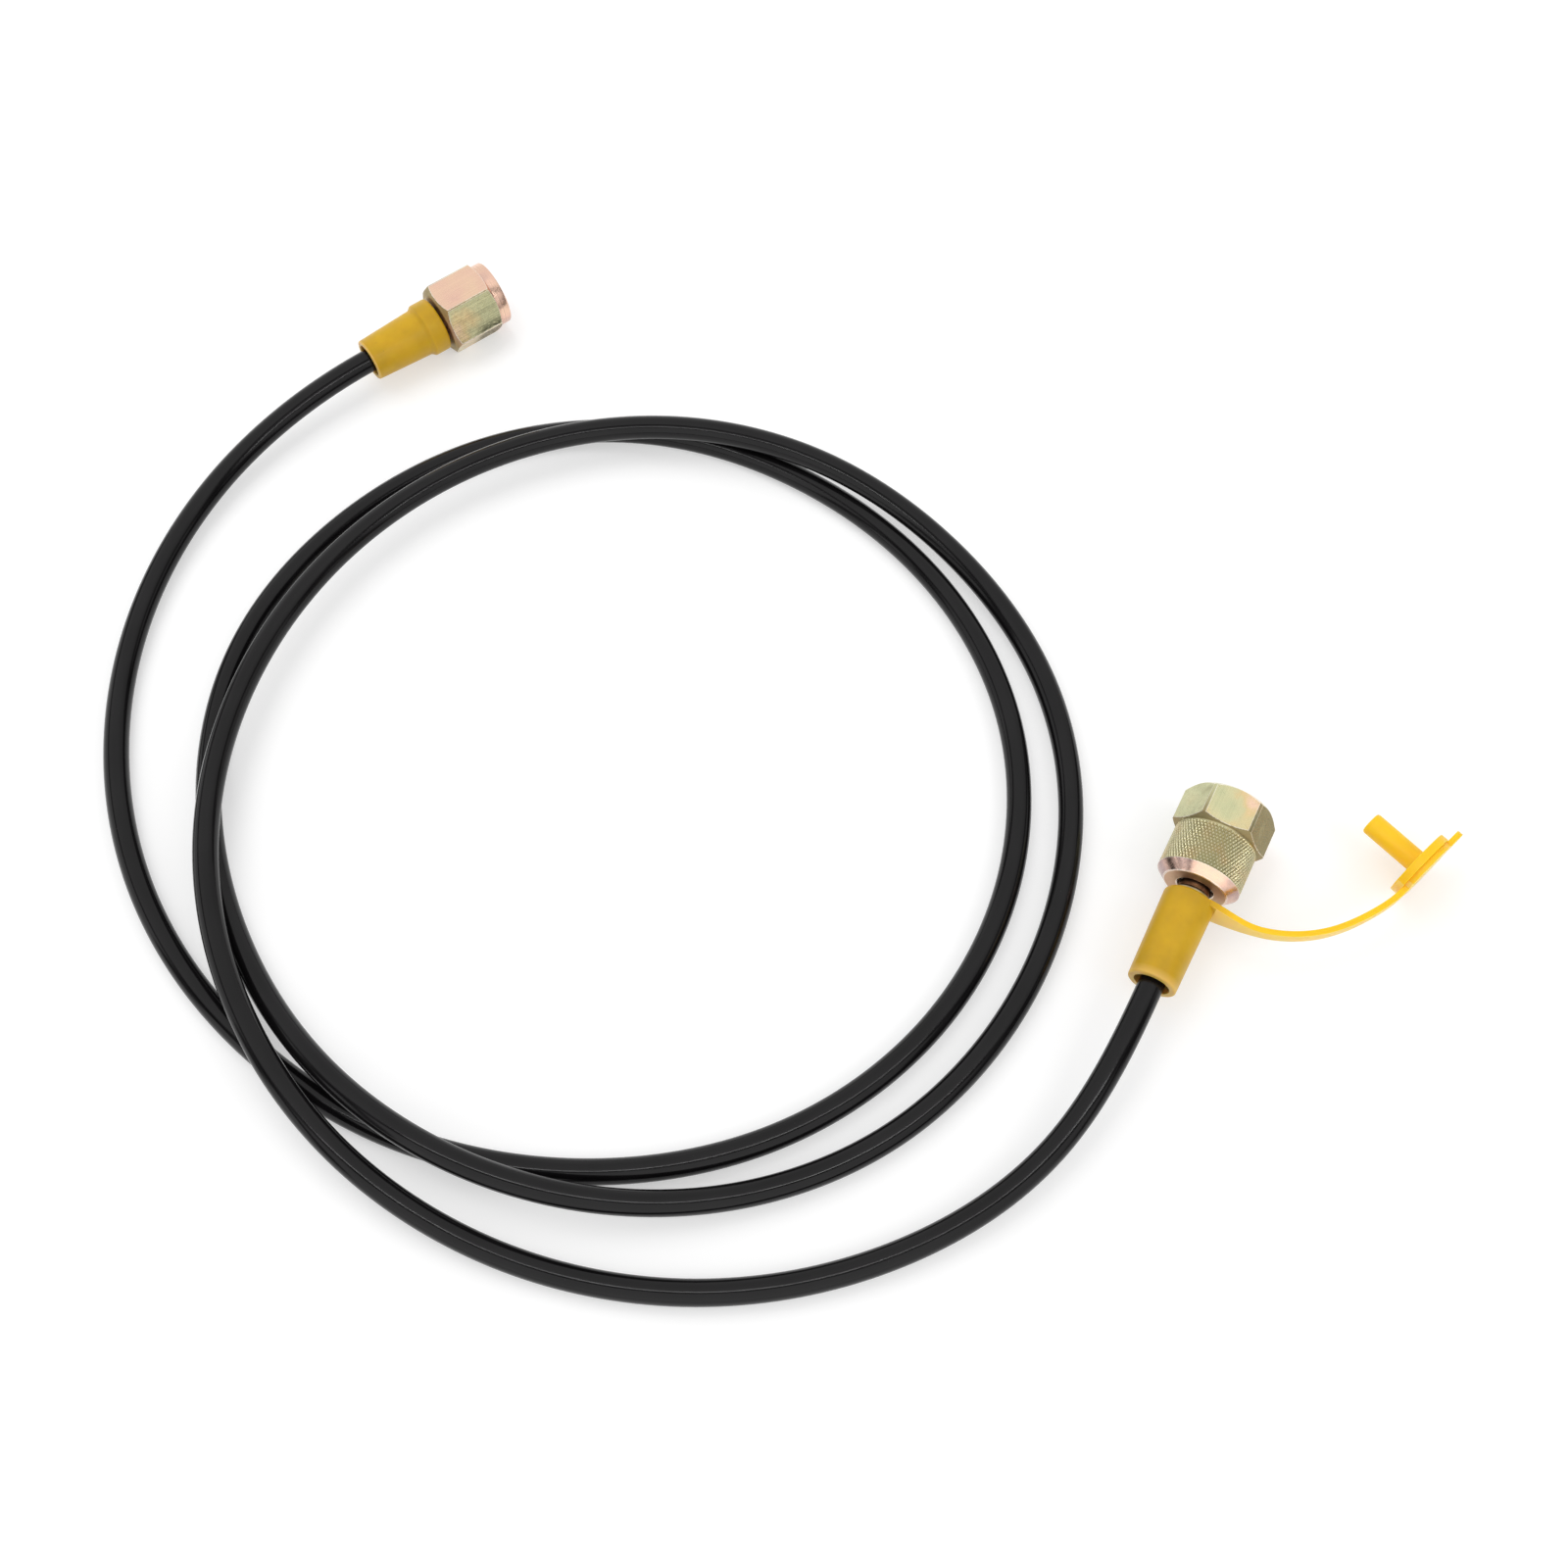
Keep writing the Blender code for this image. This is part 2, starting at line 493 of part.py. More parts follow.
def build_strap(cutters, frame):
    """Ribbon of the strap, standing on edge, given its thickness."""
    mesh = bpy.data.meshes.new("strap")
    shape = bmesh.new()
    (right, along), width = strap_stations()[0]
    edge = shape.edges.new([shape.verts.new((-right, side * width / 2, along)) for side in (-1, 1)])
    for (right, along), width in strap_stations()[1:]:
        grown = bmesh.ops.extrude_edge_only(shape, edges=[edge])["geom"]
        edge = next(item for item in grown if isinstance(item, bmesh.types.BMEdge))
        for vert in edge.verts:
            vert.co = (-right, math.copysign(width / 2, vert.co.y), along)
    shape.to_mesh(mesh)
    shape.free()
    strap = add_object("strap", mesh, cutters, frame)
    solidify = strap.modifiers.new("Thickness", "SOLIDIFY")
    solidify.thickness = STRAP_THICKNESS
    solidify.offset = 0
    return strap


def build_test_sleeve(model, cutters, frame):
    """Bend sleeve of the test end, moulded in one with its strap and dust plug."""
    front = TEST_SLEEVE_FRONT
    mouth = front - TEST_SLEEVE_LENGTH
    rounding = SLEEVE_ROUNDING
    outline = [(0, front)]
    outline += arc(TEST_SLEEVE_RADIUS - rounding, front - rounding, rounding, 90, 0)
    outline += [(TEST_SLEEVE_MOUTH_RADIUS, mouth + EDGE), (TEST_SLEEVE_MOUTH_RADIUS - EDGE, mouth),
                (0, mouth)]
    sleeve = turned("test_bend_sleeve", outline, model, frame, YELLOW_MOULDING, closed=False)
    boolean(sleeve, build_strap(cutters, frame), "UNION")

    pin = [(0, PIN_LENGTH)]
    pin += arc(PIN_RADIUS - PIN_ROUNDING, PIN_LENGTH - PIN_ROUNDING, PIN_ROUNDING, 90, 0)
    outline = pin + [(PIN_RADIUS, 0), (PLUG_RADIUS - EDGE, 0), (PLUG_RADIUS, -EDGE),
                     (PLUG_RADIUS, -PLUG_THICKNESS - SMALL), (0, -PLUG_THICKNESS - SMALL)]
    plug = turned("dust_plug", outline, cutters, frame, closed=False)
    facing = math.radians(PLUG_FACING_DEG)
    plug.location = (-PLUG_CENTRE[0], 0, PLUG_CENTRE[1])
    pointing = Vector((-math.cos(facing), 0, math.sin(facing)))
    plug.rotation_euler = pointing.to_track_quat("Z", "Y").to_euler()
    boolean(sleeve, plug, "UNION")

    bore, mouth_bore = SLEEVE_BORE_RADIUS, SLEEVE_MOUTH_BORE_RADIUS
    outline = [(0, front + HEX_SPARE), (bore, front + HEX_SPARE), (bore, SLEEVE_STEP),
               (mouth_bore, SLEEVE_STEP - SLEEVE_STEP_RAMP), (mouth_bore, mouth - HEX_SPARE),
               (0, mouth - HEX_SPARE)]
    boolean(sleeve, turned("sleeve_bore", outline, cutters, frame, closed=False), "DIFFERENCE")


def build_test_end(model, cutters):
    """Fitting for the test point, with the sleeve, strap and plug behind it."""
    frame = end_frame("test_end", TEST_AXIS_XY, TEST_FLATS / 2, TEST_HEADING_DEG, model)
    build_test_nut(model, cutters, frame)
    build_wire("test_nut_wire", TEST_WIRE_PLACE, model, frame)
    build_ferrule("test_ferrule", model, frame)
    build_test_stem(model, frame)
    build_test_sleeve(model, cutters, frame)


def hose_line():
    """Centre line of the hose: straight in both fittings and smooth along its route between."""
    ends = []
    for place, height, heading, mouth in (
            (GAUGE_AXIS_XY, GAUGE_FLATS / 2, GAUGE_HEADING_DEG, GAUGE_SLEEVE_FRONT - GAUGE_SLEEVE_LENGTH),
            (TEST_AXIS_XY, TEST_FLATS / 2, TEST_HEADING_DEG, TEST_SLEEVE_FRONT - TEST_SLEEVE_LENGTH)):
        forward = direction_of(heading)
        origin = Vector((*place, height))
        ends.append((origin + forward * HOSE_END, origin + forward * mouth, forward))
    (first, first_mouth, first_way), (last, last_mouth, last_way) = ends
    line = smooth_line([tuple(first_mouth), *HOSE_ROUTE, tuple(last_mouth)], tuple(-first_way),
                       tuple(last_way), HOSE_POINTS - 2)
    lying = [(right, along, max(height, HOSE_DIAMETER / 2)) for right, along, height in line]
    return [tuple(first), *lying, tuple(last)]


def build_hose(model, cutters):
    """Hose: a tube along its route, bored at both ends for the stems' tails."""
    curve = bpy.data.curves.new("hose_route", "CURVE")
    curve.dimensions = "3D"
    curve.bevel_depth = HOSE_DIAMETER / 2
    curve.bevel_resolution = 3
    curve.use_fill_caps = True
    line = hose_line()
    spline = curve.splines.new("POLY")
    spline.points.add(len(line) - 1)
    for point, place in zip(spline.points, line):
        point.co = (*place, 1)
    route = add_object("hose_route", curve, cutters)
    depsgraph = bpy.context.evaluated_depsgraph_get()
    mesh = bpy.data.meshes.new_from_object(route.evaluated_get(depsgraph))
    bpy.data.objects.remove(route)
    mesh.name = "hose"
    shape = bmesh.new()
    shape.from_mesh(mesh)
    bmesh.ops.remove_doubles(shape, verts=shape.verts, dist=MERGE)
    shape.to_mesh(mesh)
    shape.free()
    hose = add_object("hose", mesh, model, None, BLACK_HOSE)
    for name in ("gauge_end", "test_end"):
        outline = [(0, HOSE_END + HEX_SPARE), (HOSE_BORE / 2, HOSE_END + HEX_SPARE),
                   (HOSE_BORE / 2, TAIL_TIP - GAP), (0, TAIL_TIP - GAP)]
        bore = turned(name + "_hose_bore", outline, cutters, bpy.data.objects[name], steps=16,
                      closed=False)
        boolean(hose, bore, "DIFFERENCE")


def main():
    """Build the hose and its two fittings."""
    empty_scene()
    model = new_collection("hydraulic gauge hose")
    cutters = new_collection("cutters")
    build_gauge_end(model, cutters)
    build_test_end(model, cutters)
    build_hose(model, cutters)
    bpy.context.view_layer.update()
    for thing in model.objects:
        if thing.type == "MESH":
            thing.data.shade_smooth()
            thing.data.set_sharp_from_angle(angle=math.radians(SMOOTH_DEG))


main()
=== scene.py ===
"""Hydraulic gauge hose: the finish of every surface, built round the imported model.

The hose, both nuts, the stems, ferrules, seals and the two yellow mouldings are made again with
their real edges, threads and knurl, where the solids have them. Metres, +Z up.

Each fitting is made along its own axis and then put in its place: local +Z runs from the hose to
the mouth, local +X points to the left of that direction and local +Y points up.
"""
from __future__ import annotations

import logging
import math
from dataclasses import dataclass, field
from enum import Enum
from functools import partial
from typing import Callable, Iterable, Sequence, Union

import bmesh
import bpy
import numpy as np
from mathutils import Matrix, Vector

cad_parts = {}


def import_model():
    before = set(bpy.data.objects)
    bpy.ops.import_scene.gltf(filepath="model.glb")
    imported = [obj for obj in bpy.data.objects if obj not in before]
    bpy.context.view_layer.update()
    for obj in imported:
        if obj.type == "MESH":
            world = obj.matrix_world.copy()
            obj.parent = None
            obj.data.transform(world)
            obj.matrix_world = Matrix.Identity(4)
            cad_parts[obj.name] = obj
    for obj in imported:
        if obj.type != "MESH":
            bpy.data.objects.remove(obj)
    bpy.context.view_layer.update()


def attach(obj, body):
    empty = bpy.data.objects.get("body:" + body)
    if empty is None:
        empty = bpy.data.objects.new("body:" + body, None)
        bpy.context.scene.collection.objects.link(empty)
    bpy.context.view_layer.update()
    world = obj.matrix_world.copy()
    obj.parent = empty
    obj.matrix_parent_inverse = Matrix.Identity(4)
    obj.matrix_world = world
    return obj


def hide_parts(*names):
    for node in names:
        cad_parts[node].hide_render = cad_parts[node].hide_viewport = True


LOG = logging.getLogger("gauge_hose")

Point2 = tuple[float, float]
Point3 = tuple[float, float, float]
Colour = tuple[float, float, float, float]
Stops = Sequence[tuple[float, str]]
Feed = Union[bpy.types.Node, bpy.types.NodeSocket, float, Sequence[float]]
Feeds = Union[dict[Union[str, int], Feed], Sequence[Feed]]
Adder = Callable[..., bpy.types.Node]

MM = 0.001
GAP = 0.0003                # clearance between pieces that touch
EDGE = 0.0003               # broken edge
SAME = 0.01 * MM            # radii closer than this are one surface
WELD = 1e-6                 # points closer than this are one point
TURNED_STEPS = 128          # facets round a turned piece
FLAT, FLAT_EDGE = 1.0, 0.9  # marks of a milled flat and of the rubbed edge round it
WHITE = (1.0, 1.0, 1.0, 1.0)
SHARE, VALUE_A, VALUE_B, COLOUR_A, COLOUR_B = 0, 2, 3, 6, 7     # sockets of a Mix node

# Camera of the photograph: 22.8 degree half field, looking down and a little forward
CAMERA_PLACE = (-0.02255, -0.23227, 0.4114)
CAMERA_TILT_DEG = 24.37
CAMERA_ROLL_DEG = 0.44
CAMERA_LENS_MM = 42.75
CAMERA_SENSOR_MM = 36.0

# Interference colours of the chromate film, from olive to mauve; the darkest olive at the start
# also serves as painted shade
CHROMATE_COLOURS: Stops = ((0.0, "#8a8159"), (0.2, "#cacaa0"), (0.36, "#d5cfa3"),
                           (0.5, "#e2ca98"), (0.66, "#f4d1b4"), (0.84, "#f1c8b3"),
                           (1.0, "#b9a09d"))

# Route of the hose from the gauge end to the test end, as it lies in loose turns: x, y and height
HOSE_ROUTE: list[Point3] = [
    (-0.1649, 0.0421, 0.0058), (-0.1826, 0.0039, 0.0037), (-0.1847, -0.0383, 0.0030),
    (-0.1715, -0.0786, 0.0030), (-0.1444, -0.1119, 0.0030), (-0.1073, -0.1340, 0.0030),
    (-0.0647, -0.1413, 0.0030), (-0.0231, -0.1329, 0.0030), (0.0109, -0.1083, 0.0030),
    (0.0309, -0.0707, 0.0030), (0.0321, -0.0283, 0.0030), (0.0144, 0.0105, 0.0030),
    (-0.0178, 0.0393, 0.0030), (-0.0579, 0.0537, 0.0030), (-0.0995, 0.0491, 0.0030),
    (-0.1354, 0.0255, 0.0030), (-0.1576, -0.0107, 0.0030), (-0.1604, -0.0526, 0.0030),
    (-0.1459, -0.0932, 0.0044), (-0.1180, -0.1258, 0.0092), (-0.0805, -0.1451, 0.0095),
    (-0.0381, -0.1476, 0.0046), (0.0016, -0.1330, 0.0030), (0.0309, -0.1025, 0.0030),
    (0.0454, -0.0620, 0.0030), (0.0417, -0.0198, 0.0032), (0.0194, 0.0166, 0.0058),
    (-0.0158, 0.0420, 0.0092), (-0.0572, 0.0511, 0.0095), (-0.0981, 0.0417, 0.0094),
    (-0.1320, 0.0158, 0.0093), (-0.1527, -0.0212, 0.0095), (-0.1577, -0.0633, 0.0096),
    (-0.1457, -0.1044, 0.0098), (-0.1193, -0.1384, 0.0081), (-0.0824, -0.1599, 0.0037),
    (-0.0404, -0.1671, 0.0030), (0.0012, -0.1593, 0.0033), (0.0369, -0.1366, 0.0060),
]


class Body(Enum):
    """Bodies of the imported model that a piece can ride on."""

    ROOT = "root"
    GAUGE_WIRE = "gauge_wire"
    GAUGE_NUT = "gauge_nut"
    TEST_WIRE = "test_wire"
    TEST_NUT = "test_nut"


class Tint(Enum):
    """Where a face's plating lies on the run of chromate colours, from olive to mauve. The lowest
    tint lies before the start of the run, on its darkest olive, and serves as painted shade.
    """

    SHADED_OLIVE = -0.12
    GREEN = 0.27
    STRAW = 0.37
    GOLD = 0.45
    PEACH = 0.66
    ROSE = 0.73
    PINK = 0.80
    MAUVE = 0.93


@dataclass(frozen=True)
class FittingAxis:
    """Level axis of one fitting.

    Attributes:
        right: world x of the middle of the nut's rear face.
        ahead: world y of the same point.
        height: height of the axis over the surface.
        heading_deg: direction from the hose to the mouth.
    """

    right: float
    ahead: float
    height: float
    heading_deg: float

    def place(self) -> Matrix:
        """Matrix from the fitting's own axes to the world's.

        Returns:
            The matrix.
        """
        turn = Matrix.Rotation(math.radians(self.heading_deg + 90), 4, "Z")
        stand = Matrix.Rotation(math.radians(90), 4, "X")
        return Matrix.Translation((self.right, self.ahead, self.height)) @ turn @ stand

    def forward(self) -> Vector:
        """World direction from the hose to the mouth."""
        heading = math.radians(self.heading_deg)
        return Vector((math.cos(heading), math.sin(heading), 0.0))

    def at(self, distance: float) -> Vector:
        """World point on the axis, a distance ahead of the nut's rear face."""
        return Vector((self.right, self.ahead, self.height)) + self.forward() * distance


GAUGE_AXIS = FittingAxis(-0.1156, 0.08493, 0.00875, 36.2)
TEST_AXIS = FittingAxis(0.07245, -0.07617, 0.0100, 63.2)


def linear(code: str) -> Colour:
    """Turn an sRGB hex colour into linear values.

    Args:
        code: colour such as "#d0a62c".

    Returns:
        Linear red, green, blue and an alpha of 1.
    """
    values = [int(code[start:start + 2], 16) / 255 for start in (1, 3, 5)]
    lit = [v / 12.92 if v <= 0.04045 else ((v + 0.055) / 1.055) ** 2.4 for v in values]
    return (lit[0], lit[1], lit[2], 1.0)


def feed(tree: bpy.types.NodeTree, node: bpy.types.Node, inputs: Feeds) -> None:
    """Give a node's sockets their values and links.

    Args:
        tree: node tree that holds the node.
        node: the node.
        inputs: what goes into each socket, by its name or its place: a value, an output socket,
            or another node, which gives the first of its outputs that is in use.
    """
    for key, value in inputs.items() if isinstance(inputs, dict) else enumerate(inputs):
        if isinstance(value, bpy.types.Node):
            value = next(socket for socket in value.outputs if socket.enabled)
        if isinstance(value, bpy.types.NodeSocket):
            tree.links.new(value, node.inputs[key])
        else:
            node.inputs[key].default_value = value


def add_node(tree: bpy.types.NodeTree, kind: str, inputs: Feeds = (), stops: Stops = (),
             **settings: object) -> bpy.types.Node:
    """Add one node with its settings, socket values and links.

    Args:
        tree: node tree that gets the node.
        kind: Blender's name of the node type, without the leading "ShaderNode".
        inputs: what goes into each socket, as feed() takes it.
        stops: positions and sRGB hex colours, for a colour ramp.
        settings: properties of the node.

    Returns:
        The new node.
    """
    node = tree.nodes.new("ShaderNode" + kind)
    for name, value in settings.items():
        setattr(node, name, value)
    if stops:
        elements = node.color_ramp.elements
        while len(elements) < len(stops):
            elements.new(0.5)
        for element, (position, code) in zip(elements, stops):
            element.position = position
            element.color = linear(code)
    feed(tree, node, inputs)
    return node


def new_material(name: str) -> tuple[bpy.types.Material, Adder, Callable[[Feeds], None]]:
    """Start a node material.

    Args:
        name: name of the material.

    Returns:
        The material, what adds a node to its tree, and what feeds its shader.
    """
    material = bpy.data.materials.new(name)
    material.use_nodes = True
    tree = material.node_tree
    return material, partial(add_node, tree), partial(feed, tree, tree.nodes["Principled BSDF"])


def on_axis(add: Adder, axis: FittingAxis) -> bpy.types.Node:
    """Object coordinates turned to a fitting's own axes, in metres.

    Args:
        add: what adds a node to the material.
        axis: the fitting's axis.

    Returns:
        The node that gives them.
    """
    place = axis.place()
    return add("Mapping", {"Vector": add("TexCoord").outputs["Object"],
                           "Location": place.translation, "Rotation": place.to_euler("XYZ")},
               vector_type="TEXTURE")


def per(*grain: float) -> tuple[float, ...]:
    """Scale along each axis that gives a pattern's grain its real size in metres."""
    return tuple(1 / size for size in grain)


@dataclass(frozen=True)
class Wash:
    """Patch of plating where the film is thicker or thinner.

    Attributes:
        centre: middle of the patch on the fitting's own axes, in millimetres.
        reach: radius at which it has faded out, in millimetres.
        shift: how far it moves along the run of chromate colours.
    """

    centre: Point3
    reach: float
    shift: float


@dataclass(frozen=True)
class ChromatedZinc:
    """Steel plated with zinc and passivated in yellow chromate.

    The film is thin enough to show interference colours, so it runs from green over gold to pink
    in patches a few millimetres wide. Flats keep the drawn lines of the bar, turned faces keep
    fine rings, and corners, knurl crests and rims are painted pale zinc: rubbed zinc, and painted
    highlight where a broken edge catches the light. The flats are mottled dark brown on their
    lower, front part.

    Attributes:
        name: what the real material is.
        axis: fitting that the piece belongs to.
        washes: patches of thicker or thinner film.
        mottled_below: height on local Y under which the dark mottling begins.
        mottled_ahead: place on local Z from which it begins.
        drawn_below: height on local Y above which the drawn lines fade.
        drawn: contrast of the drawn lines.
        patch: size of a patch of colour.
        fine_patch: size of the finest shimmer.
        drift: how far patches move along the run of colours.
        shimmer: how far the finest shimmer does.
        flow: how far the edge of a wash wanders.
        flow_grain: size of its wandering.
        mottle_grain: size of the mottling round the nut. It is twice as long along it.
        drawn_line: spacing of the lines that the drawing die left.
        turned_ring: spacing of the rings that the tool left.
        roughness: roughness of the clean film.
    """

    name: str
    axis: FittingAxis
    washes: tuple[Wash, ...]
    mottled_below: float = -1.0
    mottled_ahead: float = 0.0
    drawn_below: float = 1.0
    drawn: float = 0.14
    patch: float = 5.0 * MM
    fine_patch: float = 0.9 * MM
    drift: float = 0.44
    shimmer: float = 0.06
    flow: float = 6.0 * MM
    flow_grain: float = 3.5 * MM
    mottle_grain: float = 0.42 * MM
    drawn_line: float = 0.28 * MM
    turned_ring: float = 0.30 * MM
    roughness: float = 0.24

    def film(self, add: Adder, local: bpy.types.Node, patches: bpy.types.Node,
             fine: bpy.types.Node) -> bpy.types.Node:
        """Interference colours of the film.

        Args:
            add: what adds a node to the material.
            local: coordinates on the fitting's own axes.
            patches: pattern of the patches.
            fine: pattern of the shimmer.

        Returns:
            The node that gives the colour.
        """
        hue = add("Attribute", attribute_name="tint").outputs["Fac"]
        wander = add("TexNoise", {"Vector": local, "Scale": 1 / self.flow_grain, "Detail": 2.0})
        bent = add("VectorMath", (wander.outputs["Color"], (self.flow,) * 3, local),
                   operation="MULTIPLY_ADD")
        for wash in self.washes:
            middle = tuple(value * MM + self.flow / 2 for value in wash.centre)
            away = add("VectorMath", (bent, middle), operation="DISTANCE")
            shift = add("MapRange", (away, wash.reach * MM, 0.0, 0.0, wash.shift),
                        interpolation_type="SMOOTHSTEP")
            hue = add("Math", (hue, shift), operation="ADD")
        drift = add("Math", (patches, self.drift, -self.drift / 2), operation="MULTIPLY_ADD")
        shimmer = add("Math", (fine, self.shimmer, -self.shimmer / 2), operation="MULTIPLY_ADD")
        place = add("Math", (add("Math", (hue, drift), operation="ADD"), shimmer),
                    operation="ADD", use_clamp=True)
        return add("ValToRGB", (place,), CHROMATE_COLOURS)

    def tool_marks(self, add: Adder, local: bpy.types.Node,
                   flat: bpy.types.NodeSocket) -> bpy.types.Node:
        """Height of the lines that the drawing die left on flats, and of the rings elsewhere.

        Args:
            add: what adds a node to the material.
            local: coordinates on the fitting's own axes.
            flat: 1 on the flats.

        Returns:
            The node that gives a value round 0.5.
        """
        sides = add("SeparateXYZ", (local,)).outputs
        bar = add("VectorMath", (local, per(self.drawn_line, self.drawn_line, 40 * MM)),
                  operation="MULTIPLY")
        lines = add("TexNoise", {"Vector": bar, "Scale": 1.0, "Detail": 2.0, "Roughness": 0.6})
        along = add("CombineXYZ", {"Z": sides["Z"]})
        rings = add("TexNoise", {"Vector": along, "Scale": 1 / self.turned_ring, "Detail": 2.0,
                                 "Roughness": 0.6})
        marks = add("Mix", {SHARE: flat, VALUE_A: rings, VALUE_B: lines}, data_type="FLOAT")
        faint = add("MapRange", (sides["Y"], self.drawn_below, self.drawn_below - MM, 0.12, 1.0),
                    interpolation_type="SMOOTHSTEP")
        return add("Mix", {SHARE: faint, VALUE_A: 0.5, VALUE_B: marks}, data_type="FLOAT")

    def dark_mottle(self, add: Adder, local: bpy.types.Node,
              flat: bpy.types.NodeSocket) -> bpy.types.Node:
        """Dark brown mottling on the lower, front part of the flats: darker towards the bottom of
        the nut.

        Args:
            add: what adds a node to the material.
            local: coordinates on the fitting's own axes.
            flat: 1 on the flats.

        Returns:
            The node that gives its strength.
        """
        sides = add("SeparateXYZ", (local,)).outputs
        grain = add("VectorMath", (local, per(self.mottle_grain, self.mottle_grain, 0.9 * MM)),
                    operation="MULTIPLY")
        speckle = add("TexNoise", {"Vector": grain, "Scale": 1.0, "Detail": 4.0, "Roughness": 0.7})
        low = add("MapRange", (sides["Y"], self.mottled_below, self.mottled_below - 2.2 * MM),
                  interpolation_type="SMOOTHSTEP")
        front = add("MapRange", (sides["Z"], self.mottled_ahead, self.mottled_ahead + 4.0 * MM),
                    interpolation_type="SMOOTHSTEP")
        # Darker towards the bottom and the front of the nut as it lies.
        lower_front = add("Math", (add("Math", (low, front), operation="MULTIPLY"), flat),
                      operation="MULTIPLY")
        spots = add("MapRange", (speckle, 0.34, 0.52), interpolation_type="SMOOTHSTEP")
        return add("Math", (lower_front, spots), operation="MULTIPLY", use_clamp=True)

    def material(self) -> bpy.types.Material:
        """Make the material.

        Returns:
            The material.
        """
        material, add, feed_shader = new_material(self.name)
        local = on_axis(add, self.axis)
        flat, recess, wear = (add("Attribute", attribute_name=name).outputs["Fac"]
                              for name in ("flat", "recess", "wear"))
        patches = add("TexNoise", {"Vector": local, "Scale": 1 / self.patch, "Detail": 1.5,
                                   "Roughness": 0.45})
        fine = add("TexNoise", {"Vector": local, "Scale": 1 / self.fine_patch, "Detail": 3.0,
                                "Roughness": 0.6})
        film = self.film(add, local, patches, fine)
        marks = self.tool_marks(add, local, flat)
        dark_mottle = self.dark_mottle(add, local, flat)

        # Each layer over the one below it: the marks' shade, the dark mottling, the brown left in
        # recesses, and pale zinc on edges, crests and rims, which is rubbed zinc and painted
        # highlight
        shade = add("MapRange", (marks, 0.30, 0.72, 1.0 - self.drawn, 1.0 + 0.4 * self.drawn),
                    interpolation_type="SMOOTHSTEP")
        lined = add("Mix", {SHARE: 1.0, COLOUR_A: film,
                            COLOUR_B: add("CombineColor", (shade, shade, shade))},
                    data_type="RGBA", blend_type="MULTIPLY")
        mottled = add("Mix", {SHARE: add("Math", (dark_mottle, 0.82), operation="MULTIPLY"),
                              COLOUR_A: lined, COLOUR_B: linear("#36352a")}, data_type="RGBA")
        dirty = add("Mix", {SHARE: add("Math", (recess, 0.80), operation="MULTIPLY"),
                            COLOUR_A: mottled, COLOUR_B: linear("#6e5228")}, data_type="RGBA")
        patchy = add("MapRange", (fine, 0.30, 0.55, 0.35, 1.0), interpolation_type="SMOOTHSTEP")
        # Pale zinc on edges, crests and rims: rubbed zinc and a painted highlight.
        rub_and_glint = add("Math", (wear, patchy), operation="MULTIPLY", use_clamp=True)
        rubbed_and_glinting = add("Mix", {SHARE: rub_and_glint, COLOUR_A: dirty, COLOUR_B: linear("#fbf5e8")},
                     data_type="RGBA")

        clean = add("MapRange", (fine, 0.3, 0.7, self.roughness - 0.06, self.roughness + 0.08),
                    interpolation_type="SMOOTHSTEP")
        dull = add("Math", (add("Math", (dark_mottle, 0.25), operation="MULTIPLY"),
                            add("Math", (recess, 0.35), operation="MULTIPLY")),
                   operation="MAXIMUM")
        rough = add("Math", (clean, dull), operation="ADD", use_clamp=True)
        bump = add("Bump", {"Height": marks, "Strength": 0.14, "Distance": 0.02 * MM})
        dents = add("Bump", {"Height": patches, "Strength": 0.15, "Distance": 0.3 * MM,
                             "Normal": bump})
        feed_shader({"Base Color": rubbed_and_glinting, "Metallic": 1.0, "Roughness": rough, "Normal": dents})
        return material


@dataclass(frozen=True)
class BrownedZinc:
    """The same plating on a turned stem or ferrule, thicker and gone brown under the sleeve."""

    name: str
    axis: FittingAxis
    dark: str = "#543f31"
    middle: str = "#866853"
    light: str = "#ab8b73"
    patch: float = 2.4 * MM
    turned_ring: float = 0.14 * MM
    roughness: float = 0.30

    def material(self) -> bpy.types.Material:
        """Make the material.

        Returns:
            The material.
        """
        material, add, feed_shader = new_material(self.name)
        local = on_axis(add, self.axis)
        patches = add("TexNoise", {"Vector": local, "Scale": 1 / self.patch, "Detail": 3.0,
                                   "Roughness": 0.6})
        film = add("ValToRGB", (patches,),
                   [(0.25, self.dark), (0.5, self.middle), (0.75, self.light)])
        along = add("CombineXYZ", {"Z": add("SeparateXYZ", (local,)).outputs["Z"]})
        rings = add("TexNoise", {"Vector": along, "Scale": 1 / self.turned_ring, "Detail": 3.0,
                                 "Roughness": 0.7})
        wear = add("Attribute", attribute_name="wear").outputs["Fac"]
        # Pale where marked: a painted highlight on the ferrule's front rim.
        rubbed_and_glinting = add("Mix", {SHARE: add("Math", (wear, 0.8), operation="MULTIPLY"),
                             COLOUR_A: film, COLOUR_B: linear("#e6ddc9")}, data_type="RGBA")
        bump = add("Bump", {"Height": rings, "Strength": 0.25, "Distance": 0.02 * MM})
        feed_shader({"Base Color": rubbed_and_glinting, "Metallic": 1.0, "Roughness": self.roughness,
                     "Normal": bump})
        return material


